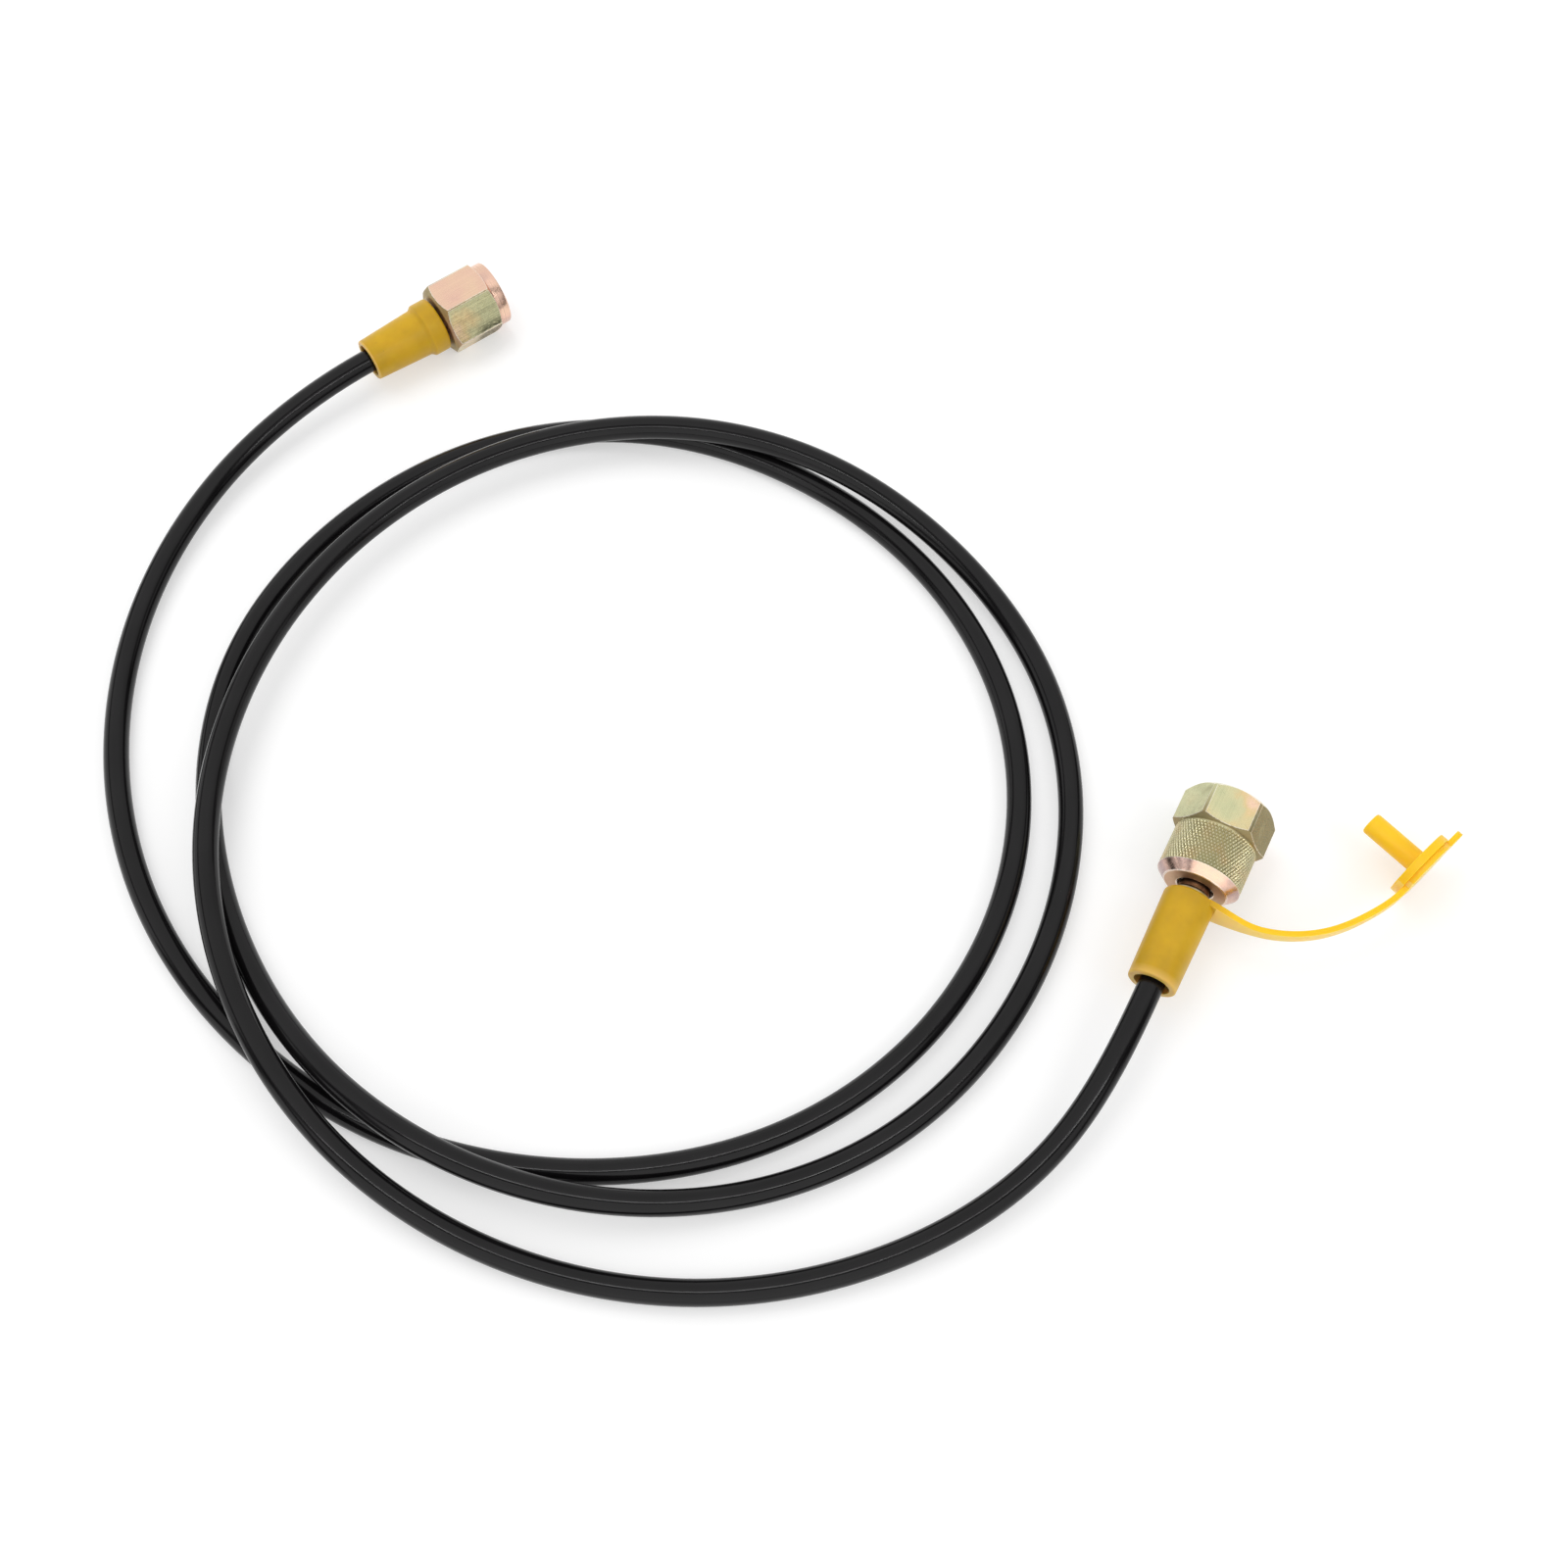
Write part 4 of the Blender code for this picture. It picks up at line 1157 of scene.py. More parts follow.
@dataclass
class GaugeNut(Nut):
    """Swivel nut for the gauge: chamfered behind, with a plain collar at the mouth."""

    flats: float = 0.0175
    length: float = 0.0173
    rear_bore: float = 0.00415
    rear_wall: float = 0.0044
    wire_height: float = 0.0022
    thread_crest: float = 0.0058
    thread_root: float = 0.00655
    thread_pitch: float = 0.001337
    steps: int = 256
    corner: float = 0.0100
    rear: float = 0.0080
    collar: float = 0.0085
    collar_rounding: float = 0.45 * MM
    hex_end: float = 0.0135
    rubbed_glinting_edge: float = 0.17 * MM

    def flat_tint(self, index: int) -> Tint:
        """Colour of the plating on one flat: the upper flat is pink, the near one olive green."""
        return (Tint.GOLD, Tint.ROSE, Tint.GREEN, Tint.GOLD, Tint.PEACH, Tint.GREEN)[index]

    def tint(self, centre: Vector) -> Tint:
        """Colour of the plating on a turned face."""
        return Tint.PINK if centre.z > self.hex_end else Tint.GOLD

    def build(self) -> bpy.types.Object:
        """Turn, mill and thread the nut.

        Returns:
            The nut.
        """
        rear_cone = cone_length(self.corner, self.rear)
        collar_start = self.hex_end + cone_length(self.corner, self.collar)
        flat_end, rounding = self.collar - self.collar_rounding, self.collar_rounding
        line = [(self.thread_crest + self.mouth_chamfer, self.length), (flat_end, self.length)]
        line += arc((flat_end, self.length - rounding), rounding, 80, 0, 5)
        line += rows((self.collar, collar_start), (self.corner, self.hex_end), 0.3 * MM)
        line += rows((self.corner, rear_cone), (self.rear, 0.0), 0.3 * MM)
        shape = spun(line + self.bore_outline(), self.steps)
        self.start_layers(shape, self.tint)
        self.cut_thread(shape)
        self.mill_flats(shape)
        self.brown_rear(shape)
        washes = (Wash((-8.0, 4.4, 1.5), 9.0, 0.26), Wash((-8.0, 4.4, 9.0), 6.0, 0.10))
        finish = ChromatedZinc("yellow chromated zinc on the gauge nut", GAUGE_AXIS, washes,
                               mottled_below=2.6 * MM, mottled_ahead=5.0 * MM,
                               drawn_below=8.4 * MM, drawn=0.26).material()
        nut = finished("gauge_nut_body", shape, GAUGE_AXIS.place(), finish, 12.0)
        return seat(nut, Body.GAUGE_NUT, "gauge_swivel_nut")

    def brown_rear(self, shape: bmesh.types.BMesh) -> None:
        """Mark the cone and face behind, where the film is thick and brown.

        Args:
            shape: mesh of the nut.
        """
        layer = shape.verts.layers.float["recess"]
        for vert in shape.verts:
            cone = vert.co.z - cone_length(radius_of(vert), self.rear)
            if radius_of(vert) > self.rear_bore and cone < 0.06 * MM:
                vert[layer] = 0.7


@dataclass
class CouplingNut(Nut):
    """Coupling nut for the test point: knurled grip, ring, and a hexagon at the mouth."""

    flats: float = 0.0200
    length: float = 0.0232
    rear_bore: float = 0.0044
    rear_wall: float = 0.0050
    wire_height: float = 0.0025
    thread_crest: float = 0.0071
    thread_root: float = 0.0080
    thread_pitch: float = 0.0020
    steps: int = 576
    corner: float = 0.0113
    rear: float = 0.0075
    mouth: float = 0.0099
    mouth_deg: float = 40.0
    knurl_start: float = 0.0022
    knurl_end: float = 0.0129
    knurl_radius: float = 0.00993
    knurl_depth: float = 0.00034
    knurl_count: int = 72
    knurl_angle_deg: float = 30.0
    knurl_crest: float = 0.14
    ring: float = 0.0096
    ring_length: float = 0.0005

    def flat_tint(self, index: int) -> Tint:
        """Colour of the plating on one flat, with painted shade on the flat on the right."""
        # The flat on the right, index 2, gets the darkest olive as painted shade for the dimmer
        # right side.
        return (Tint.GREEN, Tint.GOLD, Tint.SHADED_OLIVE, Tint.PEACH, Tint.GOLD, Tint.GREEN)[index]

    def tint(self, centre: Vector) -> Tint:
        """Colour of the plating on a turned face.

        Args:
            centre: middle of the face on the fitting's own axes.

        Returns:
            The tint.
        """
        if centre.z < 0.02 * MM:
            return Tint.PEACH
        if centre.z < self.knurl_start:
            return Tint.MAUVE
        return Tint.STRAW

    def cone_rim(self) -> Point2:
        """Outer rim of the shallow cone round the rear face, as (radius, height)."""
        return (self.rear + 0.25 * MM, 0.11 * MM)

    def knurl_row(self) -> float:
        """Height of one row of points on the knurl, eight to a diamond."""
        around = 2 * math.pi * self.knurl_radius / self.knurl_count
        return around / math.tan(math.radians(self.knurl_angle_deg)) / 8

    def roll_knurl(self, shape: bmesh.types.BMesh) -> None:
        """Press two crossing sets of grooves into the grip, fading out at both ends.

        Args:
            shape: mesh of the nut.
        """
        layer = shape.verts.layers.float["recess"]
        wear = shape.verts.layers.float["wear"]
        rise = math.tan(math.radians(self.knurl_angle_deg)) / self.knurl_radius
        for vert in shape.verts:
            if abs(radius_of(vert) - self.knurl_radius) > SAME:
                continue
            turn = math.atan2(vert.co.y, vert.co.x)
            height = vert.co.z - self.knurl_start
            left = self.knurl_end - vert.co.z
            grooves = []
            for angle in (turn + height * rise, turn - height * rise):
                phase = (angle * self.knurl_count / (2 * math.pi)) % 1.0
                grooves.append(abs(2 * phase - 1))
            cut = max(0.0, max(grooves) - self.knurl_crest) / (1 - self.knurl_crest)
            ease = max(0.0, min(1.0, height / (0.3 * MM), left / (0.35 * MM)))
            set_radius(vert, self.knurl_radius - self.knurl_depth * cut * ease)
            vert[layer] = 0.6 * cut * ease
            # The crests are painted pale: rubbed zinc and a painted highlight.
            vert[wear] = 0.6 * ease * max(0.0, 1 - 2.2 * cut)

    def brown_corners(self, shape: bmesh.types.BMesh) -> None:
        """Mark the hexagon's corners behind, where the bath left a brown film.

        Args:
            shape: mesh of the nut.
        """
        layer = shape.verts.layers.float["recess"]
        low, high = self.knurl_end + self.ring_length, self.length / 2 + 4 * MM
        for vert in shape.verts:
            if low - SAME < vert.co.z < high and radius_of(vert) > self.ring:
                cone = vert.co.z - low - cone_length(radius_of(vert), self.ring)
                vert[layer] = 0.75 if cone < 0.06 * MM else vert[layer]

    def rub_rear(self, shape: bmesh.types.BMesh) -> None:
        """Mark the edges behind to be painted pale, as rubbed zinc and painted highlight, and the
        face between them as brown.

        Args:
            shape: mesh of the nut.
        """
        wear, recess = (shape.verts.layers.float[name] for name in ("wear", "recess"))
        rims = ((self.knurl_radius, self.knurl_start), self.cone_rim(), (self.rear, 0.0),
                (self.rear_bore + 0.2 * MM, 0.0), (self.rear_bore, 0.2 * MM))
        for vert in shape.verts:
            spot = (radius_of(vert), vert.co.z)
            if any(math.dist(spot, rim) < 0.02 * MM for rim in rims):
                vert[wear] = 0.9
            elif vert.co.z < 0.02 * MM:
                vert[recess] = 0.5

    def build(self) -> bpy.types.Object:
        """Turn, mill, thread and knurl the nut.

        Returns:
            The nut.
        """
        hex_back = self.knurl_end + self.ring_length
        mouth_cone = cone_length(self.corner, self.mouth, self.mouth_deg)
        line = [(self.thread_crest + self.mouth_chamfer, self.length), (self.mouth, self.length),
                (self.corner, self.length - mouth_cone)]
        line += rows((self.corner, hex_back + cone_length(self.corner, self.ring)),
                     (self.ring, hex_back), 0.3 * MM)
        line += [(self.ring, self.knurl_end)]
        line += rows((self.knurl_radius, self.knurl_end - 0.2 * MM),
                     (self.knurl_radius, self.knurl_start), self.knurl_row())
        rub_and_glint, (rim, rise) = self.rubbed_glinting_edge, self.cone_rim()
        line += [(self.knurl_radius - rub_and_glint, self.knurl_start - rub_and_glint), (rim + rub_and_glint, rise + rub_and_glint)]
        line += rows((rim, rise), (self.rear, 0.0), 0.2 * MM)
        line += [(self.rear - rub_and_glint, 0.0)]
        shape = spun(line + self.bore_outline(), self.steps)
        self.start_layers(shape, self.tint)
        self.cut_thread(shape)
        self.mill_flats(shape)
        self.roll_knurl(shape)
        self.brown_corners(shape)
        self.rub_rear(shape)
        washes = (Wash((0.5, 10.0, 17.0), 6.0, -0.18), Wash((-3.5, 10.0, 21.0), 5.0, 0.16),
                  Wash((4.0, 10.0, 20.5), 6.0, -0.22), Wash((-8.5, 5.0, 18.5), 5.0, 0.16),
                  Wash((-1.0, 8.5, 1.0), 6.0, -0.25))
        finish = ChromatedZinc("yellow chromated zinc on the coupling nut", TEST_AXIS, washes,
                               drawn=0.05).material()
        nut = finished("coupling_nut_body", shape, TEST_AXIS.place(), finish, 12.0)
        return seat(nut, Body.TEST_NUT, "test_coupling_nut")


@dataclass
class GaugeEnd:
    """Fitting for the pressure gauge, with the flared sleeve behind it."""

    nut: GaugeNut = field(default_factory=GaugeNut)
    tail: HoseTail = field(default_factory=HoseTail)
    head_length: float = 0.0015
    head_clearance: float = 0.0004
    spigot: float = 0.0024
    seal_thickness: float = 0.0015
    seal: float = 0.0053
    sleeve_front: float = -0.0007
    sleeve_length: float = 0.0210
    sleeve_collar: float = 0.00715
    sleeve_collar_length: float = 0.0040
    sleeve_shoulder: float = 0.0063
    sleeve_mouth: float = 0.0055
    sleeve_bore: float = 0.0048
    sleeve_mouth_bore: float = 0.00425

    def build(self) -> None:
        """Make every piece of this end."""
        self.nut.build()
        self.tail.retaining_wire("gauge_nut_spring_wire", self.nut.wire_height, GAUGE_AXIS,
                                 Body.GAUGE_WIRE, "gauge_nut_wire")
        self.tail.ferrule("gauge_crimp_ferrule", GAUGE_AXIS, "gauge_ferrule")
        self.build_stem()
        self.build_sleeve()

    def build_stem(self) -> None:
        """Stem with its head, and the seal ring on its spigot."""
        half = self.tail.wire_radius + GAP
        head_back = self.nut.rear_wall + self.tail.play + GAP
        head_front = head_back + self.head_length
        head = self.nut.thread_crest - self.head_clearance
        top = head_front + GAP + self.seal_thickness - EDGE
        corner = 0.15 * MM
        line = [(self.spigot - 0.2 * MM, top), (self.spigot, top - 0.2 * MM),
                (self.spigot, head_front), (head - corner, head_front),
                (head, head_front - corner), (head, head_back), (self.tail.neck, head_back)]
        line += self.tail.outline(self.nut.wire_height - half,
                                  self.nut.wire_height + half + self.tail.play)
        shape = spun(line + [(self.tail.bore, top)])
        set_values(shape, "wear", lambda vert: 0.0)
        finish = BrownedZinc("browned zinc plate on the gauge stem", GAUGE_AXIS).material()
        stem = finished("gauge_hose_stem", shape, GAUGE_AXIS.place(), finish)
        seat(stem, Body.ROOT, "gauge_stem")
        low, high = head_front + GAP, head_front + GAP + self.seal_thickness
        inner = self.spigot + GAP
        ring = [(self.seal - corner, high), (self.seal, high - corner), (self.seal, low + corner),
                (self.seal - corner, low), (inner, low), (inner, high)]
        seal = finished("gauge_face_seal", spun(ring), GAUGE_AXIS.place(), ACETAL.material())
        seat(seal, Body.ROOT, "gauge_seal_ring")

    def build_sleeve(self) -> None:
        """Flared yellow sleeve over the ferrule and the first stretch of hose."""
        front, mouth = self.sleeve_front, self.sleeve_front - self.sleeve_length
        back = front - self.sleeve_collar_length
        step = self.tail.ferrule_front - self.tail.ferrule_length - GAP
        collar, shoulder = self.sleeve_collar, self.sleeve_shoulder
        rim_round, collar_round, lip = 0.6 * MM, 0.85 * MM, 0.4 * MM
        line = [(collar - rim_round, front)]
        line += arc((collar - rim_round, front - rim_round), rim_round, 75, 0, 5)
        line += arc((collar - collar_round, back), collar_round, 0, -62, 7)
        line += arc((shoulder + 0.62 * MM, back - 1.65 * MM), 0.66 * MM, 150, 176, 5)
        line += rows((shoulder - 0.03 * MM, back - 1.9 * MM),
                     (self.sleeve_mouth, mouth + 0.5 * MM), 2 * MM)
        line += arc((self.sleeve_mouth - lip, mouth + lip), lip, -15, -90, 5)
        line += [(self.sleeve_mouth_bore + 0.2 * MM, mouth),
                 (self.sleeve_mouth_bore, mouth + 0.2 * MM),
                 (self.sleeve_mouth_bore, step - 0.5 * MM), (self.sleeve_bore, step),
                 (self.sleeve_bore, front - 0.2 * MM), (self.sleeve_bore + 0.2 * MM, front)]
        shape = spun(line)
        rim = mouth + 0.45 * MM
        # The rim round the mouth is marked for its painted highlight.
        set_values(shape, "wear", lambda vert: float(vert.co.z < rim))
        set_values(shape, "thin", lambda vert: 0.0)
        finish = MouldedYellow("yellow soft PVC, gauge sleeve", GAUGE_AXIS).material()
        sleeve = finished("gauge_flared_sleeve", shape, GAUGE_AXIS.place(), finish)
        seat(sleeve, Body.ROOT, "gauge_bend_sleeve")


@dataclass
class DustPlugSleeve:
    """Bend sleeve of the test end, moulded in one with its strap and dust plug."""

    tail: HoseTail = field(default_factory=HoseTail)
    front: float = -0.0026
    length: float = 0.0234
    radius: float = 0.00615
    mouth: float = 0.00575
    rounding: float = 0.0010
    bore: float = 0.0048
    mouth_bore: float = 0.00425
    strap_thickness: float = 0.0014
    root_width: float = 0.0087
    strap_width: float = 0.0034
    taper_length: float = 0.0145
    tab_width: float = 0.0050
    tab_length: float = 0.0045
    plug_radius: float = 0.0085
    plate_radius: float = 0.0078
    plug_thickness: float = 0.0020
    pin_radius: float = 0.00275
    pin_length: float = 0.0136
    pin_rounding: float = 0.0007
    steps: int = 96
    plug_centre: Point2 = (0.0432, 0.0299)
    plug_facing_deg: float = 160.5
    route: tuple[Point2, ...] = ((0.0030, -0.0034), (0.0102, -0.0036), (0.0154, -0.0034),
                                 (0.0208, -0.0021), (0.0260, 0.0003), (0.0307, 0.0036),
                                 (0.0350, 0.0080), (0.0385, 0.0127))

    def stations(self) -> list[tuple[Point2, float]]:
        """Middle line of the strap and its width, from inside the sleeve's rim to the pull tab.

        Returns:
            Each place as (right, along) with the width there.
        """
        facing = math.radians(self.plug_facing_deg)
        outward = np.array([math.cos(facing), math.sin(facing)])
        along = np.array([outward[1], -outward[0]])
        behind = self.plug_thickness + self.strap_thickness / 2
        plate = np.array(self.plug_centre) - outward * behind
        start = plate - along * self.plug_radius
        line = smooth_line([*self.route, tuple(start)], (1.0, 0.0), tuple(along), 64)
        stations: list[tuple[Point2, float]] = []
        travelled = 0.0
        for place, last in zip(line, [line[0], *line[:-1]]):
            travelled += math.dist(place, last)
            taper = min(travelled / self.taper_length, 1.0)
            ease = taper * taper * (3 - 2 * taper)
            stations.append((place, self.root_width + (self.strap_width - self.root_width) * ease))
        round_start = self.plug_radius + self.tab_length - self.tab_width / 2
        for angle in np.radians(np.linspace(-74, 74, 25)):
            reach = self.plate_radius * math.sin(angle)
            stations.append((tuple(plate + along * reach), 2 * self.plate_radius * math.cos(angle)))
        stations.append((tuple(plate + along * round_start), self.tab_width))
        for angle in np.radians((12, 24, 36, 48, 58, 67, 75, 82)):
            reach = round_start + self.tab_width / 2 * math.sin(angle)
            stations.append((tuple(plate + along * reach), self.tab_width * math.cos(angle)))
        return stations

    def on_strap(self, point: Vector) -> bool:
        """Whether a place is on the strap or its round end, and not on the plug.

        Args:
            point: place on the fitting's own axes.

        Returns:
            True on the strap or its round end.
        """
        facing = math.radians(self.plug_facing_deg)
        right, along = self.plug_centre
        ahead = (-point.x - right) * math.cos(facing) + (point.z - along) * math.sin(facing)
        disc_start = along - self.plug_radius * abs(math.cos(facing))
        return point.z < disc_start or ahead < -self.plug_thickness - 0.05 * MM

    def strap(self) -> bpy.types.Object:
        """Ribbon of the strap, standing on edge, given its thickness and rounded edges.

        Returns:
            The ribbon, with its modifiers live.
        """
        shape = bmesh.new()
        (right, along), width = self.stations()[0]
        ends = [shape.verts.new((-right, side * width / 2, along)) for side in (-1, 1)]
        edge = shape.edges.new(ends)
        for (right, along), width in self.stations()[1:]:
            grown = bmesh.ops.extrude_edge_only(shape, edges=[edge])["geom"]
            edge = next(item for item in grown if isinstance(item, bmesh.types.BMEdge))
            for vert in edge.verts:
                vert.co = (-right, math.copysign(width / 2, vert.co.y), along)
        strap = linked("strap", as_mesh("strap", shape))
        solidify = strap.modifiers.new("Thickness", "SOLIDIFY")
        solidify.thickness = self.strap_thickness
        solidify.offset = 0.0
        bevel = strap.modifiers.new("Rounded", "BEVEL")
        bevel.width = 0.25 * MM
        bevel.segments = 2
        bevel.limit_method = "ANGLE"
        bevel.angle_limit = math.radians(50)
        return strap

    def turned_part(self, name: str, outline: Sequence[Point2]) -> bpy.types.Object:
        """Closed turned shape that starts and ends on the axis."""
        return linked(name, as_mesh(name, spun(outline, self.steps, closed=False)))

    def plug(self) -> bpy.types.Object:
        """Disc of the plug and its pin, turned and set on the strap's end.

        Returns:
            The plug, in its place on the fitting's own axes.
        """
        tip = self.pin_length - self.pin_rounding
        line = [(0.0, self.pin_length - 0.35 * MM), (0.9 * MM, self.pin_length - 0.3 * MM),
                (1.3 * MM, self.pin_length)]
        line += arc((self.pin_radius - self.pin_rounding, tip), self.pin_rounding, 90, 0)
        line += arc((self.pin_radius + 0.5 * MM, 0.5 * MM), 0.5 * MM, 180, 270, 5)
        disc_edge = 0.25 * MM
        line += [(self.plug_radius - 2 * disc_edge, 0.0)]
        line += arc((self.plug_radius - disc_edge, -disc_edge), disc_edge, 90, 0, 4)
        line += [(self.plug_radius, -self.plug_thickness), (0.0, -self.plug_thickness - 0.05 * MM)]
        plug = self.turned_part("plug", line)
        facing = math.radians(self.plug_facing_deg)
        pointing = Vector((-math.cos(facing), 0.0, math.sin(facing)))
        place = Matrix.Translation((-self.plug_centre[0], 0.0, self.plug_centre[1]))
        plug.data.transform(place @ pointing.to_track_quat("Z", "Y").to_matrix().to_4x4())
        return plug

    def build(self) -> None:
        """Join sleeve, strap and plug, bore the sleeve and dress the moulding."""
        front, mouth = self.front, self.front - self.length
        step = self.tail.ferrule_front - self.tail.ferrule_length - GAP
        lip = 0.4 * MM
        line = [(0.0, front)]
        line += arc((self.radius - self.rounding, front - self.rounding), self.rounding, 90, 0, 9)
        line += rows((self.radius, front - self.rounding), (self.mouth, mouth + lip), 2 * MM)[1:]
        line += arc((self.mouth - lip, mouth + lip), lip, -15, -90, 6)
        line += [(0.0, mouth)]
        sleeve = self.turned_part("sleeve", line)
        spare = 2 * MM
        bored = [(0.0, front + spare), (self.bore, front + spare), (self.bore, step),
                 (self.mouth_bore, step - 0.5 * MM), (self.mouth_bore, mouth - spare),
                 (0.0, mouth - spare)]
        helpers = [(self.strap(), "UNION"), (self.plug(), "UNION"),
                   (self.turned_part("bore", bored), "DIFFERENCE")]
        for tool, operation in helpers:
            cut = sleeve.modifiers.new(tool.name, "BOOLEAN")
            cut.operation = operation
            cut.solver = "EXACT"
            cut.object = tool
        depsgraph = bpy.context.evaluated_depsgraph_get()
        joined = bpy.data.meshes.new_from_object(sleeve.evaluated_get(depsgraph))
        for tool in [sleeve] + [tool for tool, _ in helpers]:
            bpy.data.objects.remove(tool)
        shape = bmesh.new()
        shape.from_mesh(joined)
        bmesh.ops.remove_doubles(shape, verts=shape.verts, dist=WELD)
        rim = mouth + 0.42 * MM
        thin_from, thin_over = 6.4 * MM, 5.0 * MM
        # The rim round the mouth is marked for its painted highlight.
        set_values(shape, "wear", lambda vert: float(vert.co.z < rim))
        # Painted light: from this radius out, on the strap and plug, the moulding is marked to be
        # painted a brighter yellow.
        set_values(shape, "thin", lambda vert: min(1.0, max(0.0, (radius_of(vert) - thin_from)
                                                            / thin_over)))
        shape.normal_update()
        # Painted light: faces on the strap's outer side are marked to be painted paler.
        outer = shape.faces.layers.float.new("outer")
        for face in shape.faces:
            away = radius_of_point(face.calc_center_median()) > self.radius + 0.4 * MM
            outside = away and face.normal.z < -0.30 and abs(face.normal.y) < 0.5
            face[outer] = float(outside and self.on_strap(face.calc_center_median()))
        finish = MouldedYellow("yellow soft PVC, sleeve with dust plug", TEST_AXIS).material()
        moulding = finished("dust_plug_sleeve", shape, TEST_AXIS.place(), finish, 32.0)
        seat(moulding, Body.ROOT, "test_bend_sleeve")


@dataclass
class TestEnd:
    """Fitting for the test point, with the sleeve, strap and plug behind it."""

    nut: CouplingNut = field(default_factory=CouplingNut)
    tail: HoseTail = field(default_factory=HoseTail)
    sleeve: DustPlugSleeve = field(default_factory=DustPlugSleeve)
    head: float = 0.0065
    head_length: float = 0.0020
    probe: float = 0.0052
    probe_front: float = 0.0166
    socket: float = 0.00295
    socket_depth: float = 0.0085
    ring_section: float = 0.0014
    ring_proud: float = 0.00025
    ring_back: float = 0.0030

    def build(self) -> None:
        """Make every piece of this end."""
        self.nut.build()
        self.tail.retaining_wire("test_nut_spring_wire", self.nut.wire_height, TEST_AXIS,
                                 Body.TEST_WIRE, "test_nut_wire")
        self.tail.ferrule("test_crimp_ferrule", TEST_AXIS, "test_ferrule")
        self.build_stem()
        self.sleeve.build()

    def build_stem(self) -> None:
        """Stem with its socketed probe, and the O-ring in the probe's groove."""
        half = self.tail.wire_radius + GAP
        head_back = self.nut.rear_wall + GAP
        head_front = head_back + self.head_length
        place = self.probe_front - self.ring_back
        middle = self.probe - self.ring_section / 2 + self.ring_proud
        groove = middle - self.ring_section / 2 - GAP
        room = self.ring_section / 2 + GAP
        chamfer = 0.8 * MM
        line = [(self.socket + 0.3 * MM, self.probe_front),
                (self.probe - chamfer, self.probe_front),
                (self.probe, self.probe_front - chamfer), (self.probe, place + room),
                (groove, place + room), (groove, place - room), (self.probe, place - room),
                (self.probe, head_front), (self.head - 0.2 * MM, head_front),
                (self.head, head_front - 0.2 * MM), (self.head, head_back),
                (self.tail.neck, head_back)]
        line += self.tail.outline(self.nut.wire_height - half - self.tail.play,
                                  self.nut.wire_height + half)
        bottom = self.probe_front - self.socket_depth
        line += [(self.tail.bore, bottom - 0.8 * MM), (self.socket, bottom),
                 (self.socket, self.probe_front - 0.3 * MM)]
        shape = spun(line)
        set_values(shape, "wear", lambda vert: 0.0)
        finish = BrownedZinc("browned zinc plate on the test stem", TEST_AXIS).material()
        stem = finished("test_hose_stem", shape, TEST_AXIS.place(), finish)
        seat(stem, Body.ROOT, "test_stem")
        section = arc((middle, place), self.ring_section / 2, 90, 90 - 360, 25)[:-1]
        ring = finished("test_probe_seal", spun(section), TEST_AXIS.place(), NITRILE.material(),
                        60.0)
        seat(ring, Body.ROOT, "test_probe_o_ring")


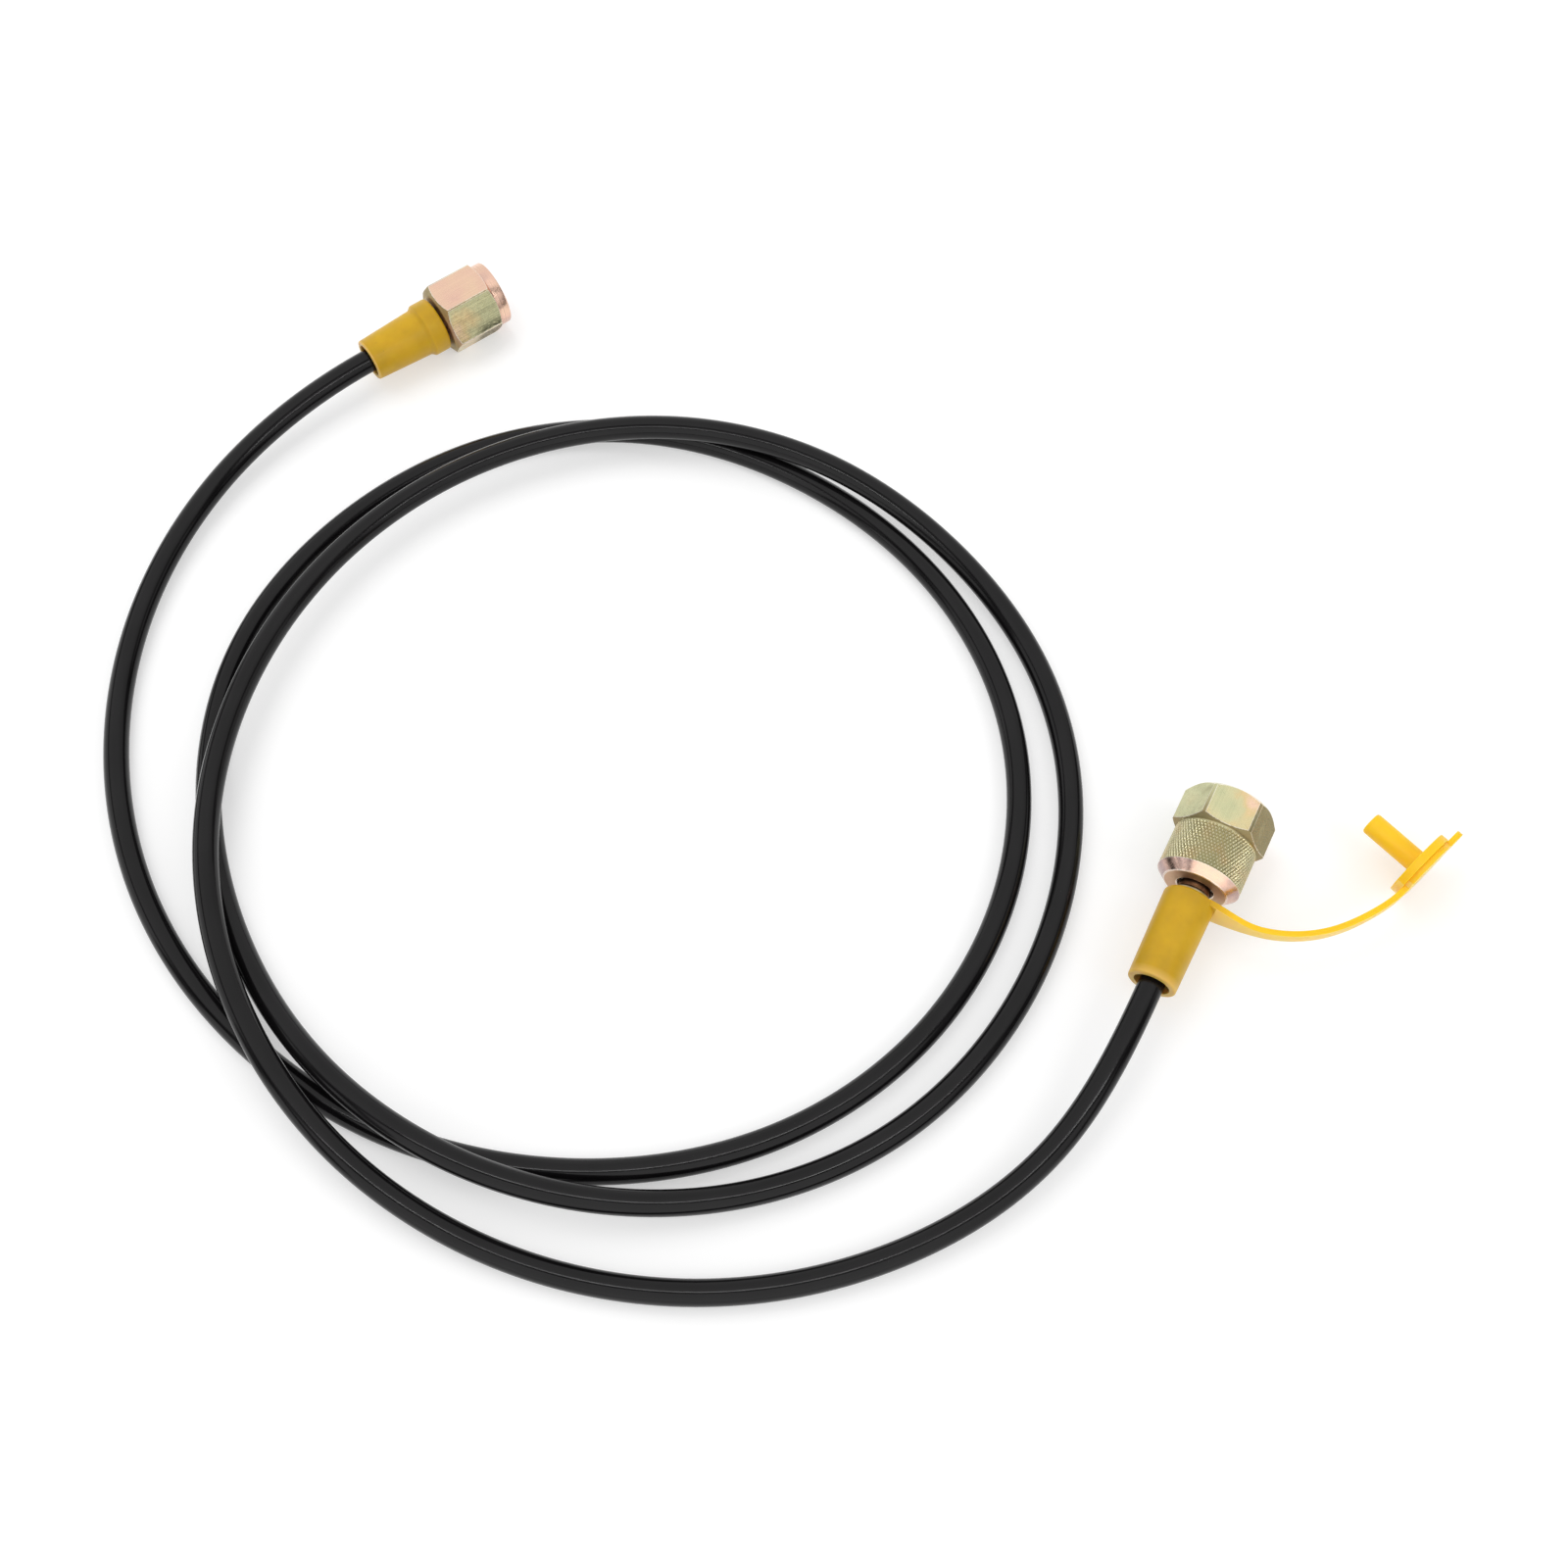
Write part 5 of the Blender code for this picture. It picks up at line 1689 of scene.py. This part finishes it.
@dataclass
class Studio:
    """White table, soft lamps and the photograph's camera.

    Attributes:
        table_width: width of the square table.
        world_level: light of the room on matt surfaces.
        front_level: brightness of the wall behind the camera, seen only as reflections.
        right_level: brightness of the wall on the right, likewise.
        gap_level: what is left of it in the dark gaps between the walls' screens.
        gaps: axis, place and half width of each gap, on the sphere of directions.
        strip_place: middle of the strip lamp, by the camera.
        strip_size: length and width of the strip lamp.
        strip_watts: power of the strip lamp.
        card_depth: depth of the black card in front of it.
        lamps: place, size and watts of each softbox.
        aim: place that the softboxes point at.
        fade: distances from the middle over which the table's glow rises.
        glow: its strength near the object and far away.
    """

    table_width: float = 6.0
    world_level: float = 0.76
    front_level: float = 1.40
    right_level: float = 0.60
    gap_level: float = 0.15
    gaps: tuple[tuple[str, float, float], ...] = (("X", 0.86, 0.06), ("X", -0.80, 0.06),
                                                  ("Y", -0.22, 0.11))
    strip_place: Point3 = (-0.02, -0.20, 0.43)
    strip_size: Point2 = (0.60, 0.022)
    strip_watts: float = 0.45
    card_depth: float = 0.09
    lamps: tuple[tuple[Point3, float, float], ...] = (((-0.35, 0.25, 0.75), 0.60, 2.3),
                                                      ((0.55, -0.35, 0.60), 0.40, 1.1))
    aim: Point3 = (-0.03, -0.03, 0.0)
    fade: Point2 = (0.3, 1.3)
    glow: Point2 = (0.44, 0.62)

    def set_camera(self) -> None:
        """Stand the camera where the photograph was taken from."""
        data = bpy.data.cameras.new("photograph")
        data.sensor_width = CAMERA_SENSOR_MM
        data.lens = CAMERA_LENS_MM
        data.clip_start = 0.01
        camera = linked("photograph", data)
        camera.matrix_world = (Matrix.Translation(CAMERA_PLACE)
                               @ Matrix.Rotation(math.radians(CAMERA_TILT_DEG), 4, "X")
                               @ Matrix.Rotation(math.radians(CAMERA_ROLL_DEG), 4, "Z"))
        bpy.context.scene.camera = camera

    def hang_lamps(self) -> None:
        """Hang the softboxes, which light the object but don't show as reflections."""
        for index, (place, size, watts) in enumerate(self.lamps):
            data = bpy.data.lights.new(f"softbox_{index}", "AREA")
            data.shape = "SQUARE"
            data.size = size
            data.energy = watts
            lamp = linked(data.name, data)
            lamp.visible_glossy = False
            away = Vector(self.aim) - Vector(place)
            lamp.matrix_world = (Matrix.Translation(place)
                                 @ away.to_track_quat("-Z", "Y").to_matrix().to_4x4())

    def light_room(self) -> None:
        """Set the level of the room: even on matt surfaces, and walls with gaps as reflections."""
        world = bpy.data.worlds.new("studio")
        world.use_nodes = True
        bpy.context.scene.world = world
        tree = world.node_tree
        add = partial(add_node, tree)
        rays = add("LightPath").outputs
        ways = add("SeparateXYZ", (add("TexCoord").outputs["Generated"],)).outputs
        front = add("MapRange", (ways["Y"], -1.0, 1.0, self.front_level, 1.0),
                    interpolation_type="SMOOTHSTEP")
        right = add("MapRange", (ways["X"], 0.3, 1.0, 1.0, self.right_level),
                    interpolation_type="SMOOTHSTEP")
        wall = add("Math", (front, right), operation="MULTIPLY")
        for side, place, half in self.gaps:
            off = add("Math", (add("Math", (ways[side], place), operation="SUBTRACT"),),
                      operation="ABSOLUTE")
            gap = add("MapRange", (off, 0.6 * half, half, self.gap_level, 1.0),
                      interpolation_type="SMOOTHSTEP")
            wall = add("Math", (wall, gap), operation="MULTIPLY")
        mirrored = add("Math", (rays["Is Glossy Ray"], rays["Is Transmission Ray"]),
                       operation="MAXIMUM")
        room = add("Mix", {SHARE: mirrored, VALUE_A: self.world_level, VALUE_B: wall},
                   data_type="FLOAT")
        level = add("Math", (room, rays["Is Camera Ray"]), operation="MAXIMUM")
        feed(tree, tree.nodes["Background"], {"Strength": level, "Color": WHITE})

    def hang_strip(self) -> None:
        """Hang the strip lamp and the black card by the camera, seen only as reflections."""
        data = bpy.data.lights.new("strip", "AREA")
        data.shape = "RECTANGLE"
        data.size, data.size_y = self.strip_size
        data.energy = self.strip_watts
        strip = linked("strip", data)
        strip.location = self.strip_place
        shape = bmesh.new()
        bmesh.ops.create_grid(shape, x_segments=1, y_segments=1, size=0.5)
        bmesh.ops.scale(shape, vec=(self.strip_size[0], self.card_depth, 1.0), verts=shape.verts)
        ahead = Vector((0.0, (self.strip_size[1] + self.card_depth) / 2, 0.0))
        bmesh.ops.translate(shape, vec=Vector(self.strip_place) - ahead, verts=shape.verts)
        card = linked("black card", as_mesh("black card", shape))
        material, _, feed_shader = new_material("matt black card")
        feed_shader({"Base Color": linear("#161616"), "Roughness": 0.9})
        card.data.materials.append(material)
        for thing in (strip, card):
            thing.visible_camera = thing.visible_diffuse = thing.visible_shadow = False

    def lay_table(self) -> None:
        """Lay the pale table: matt, and white to the camera where no shadow falls."""
        shape = bmesh.new()
        bmesh.ops.create_grid(shape, x_segments=1, y_segments=1, size=self.table_width / 2)
        table = linked("table", as_mesh("table", shape))
        material = bpy.data.materials.new("matt white table")
        material.use_nodes = True
        tree = material.node_tree
        tree.nodes.clear()
        add = partial(add_node, tree)
        away = add("VectorMath", (add("TexCoord").outputs["Object"],), operation="LENGTH")
        strength = add("MapRange", (away, *self.fade, *self.glow), interpolation_type="SMOOTHSTEP")
        lit = add("AddShader", (add("BsdfDiffuse", {"Color": (0.62, 0.62, 0.62, 1.0)}),
                                add("Emission", {"Color": WHITE, "Strength": strength})))
        plain = add("BsdfDiffuse", {"Color": (0.94, 0.94, 0.94, 1.0)})
        rays = add("LightPath").outputs
        seen = add("Math", (rays["Is Camera Ray"], rays["Is Glossy Ray"]), operation="MAXIMUM")
        add("OutputMaterial", {"Surface": add("MixShader", (seen, plain, lit))})
        table.data.materials.append(material)


def main() -> None:
    """Build the studio, the hose and its two ends."""
    logging.basicConfig(level=logging.INFO, format="%(name)s: %(message)s")
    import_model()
    studio = Studio()
    studio.set_camera()
    TestHose().build()
    GaugeEnd().build()
    TestEnd().build()
    studio.hang_lamps()
    studio.light_room()
    studio.hang_strip()
    studio.lay_table()
    bpy.context.scene.view_settings.view_transform = "Standard"


if __name__ == "__main__":
    main()
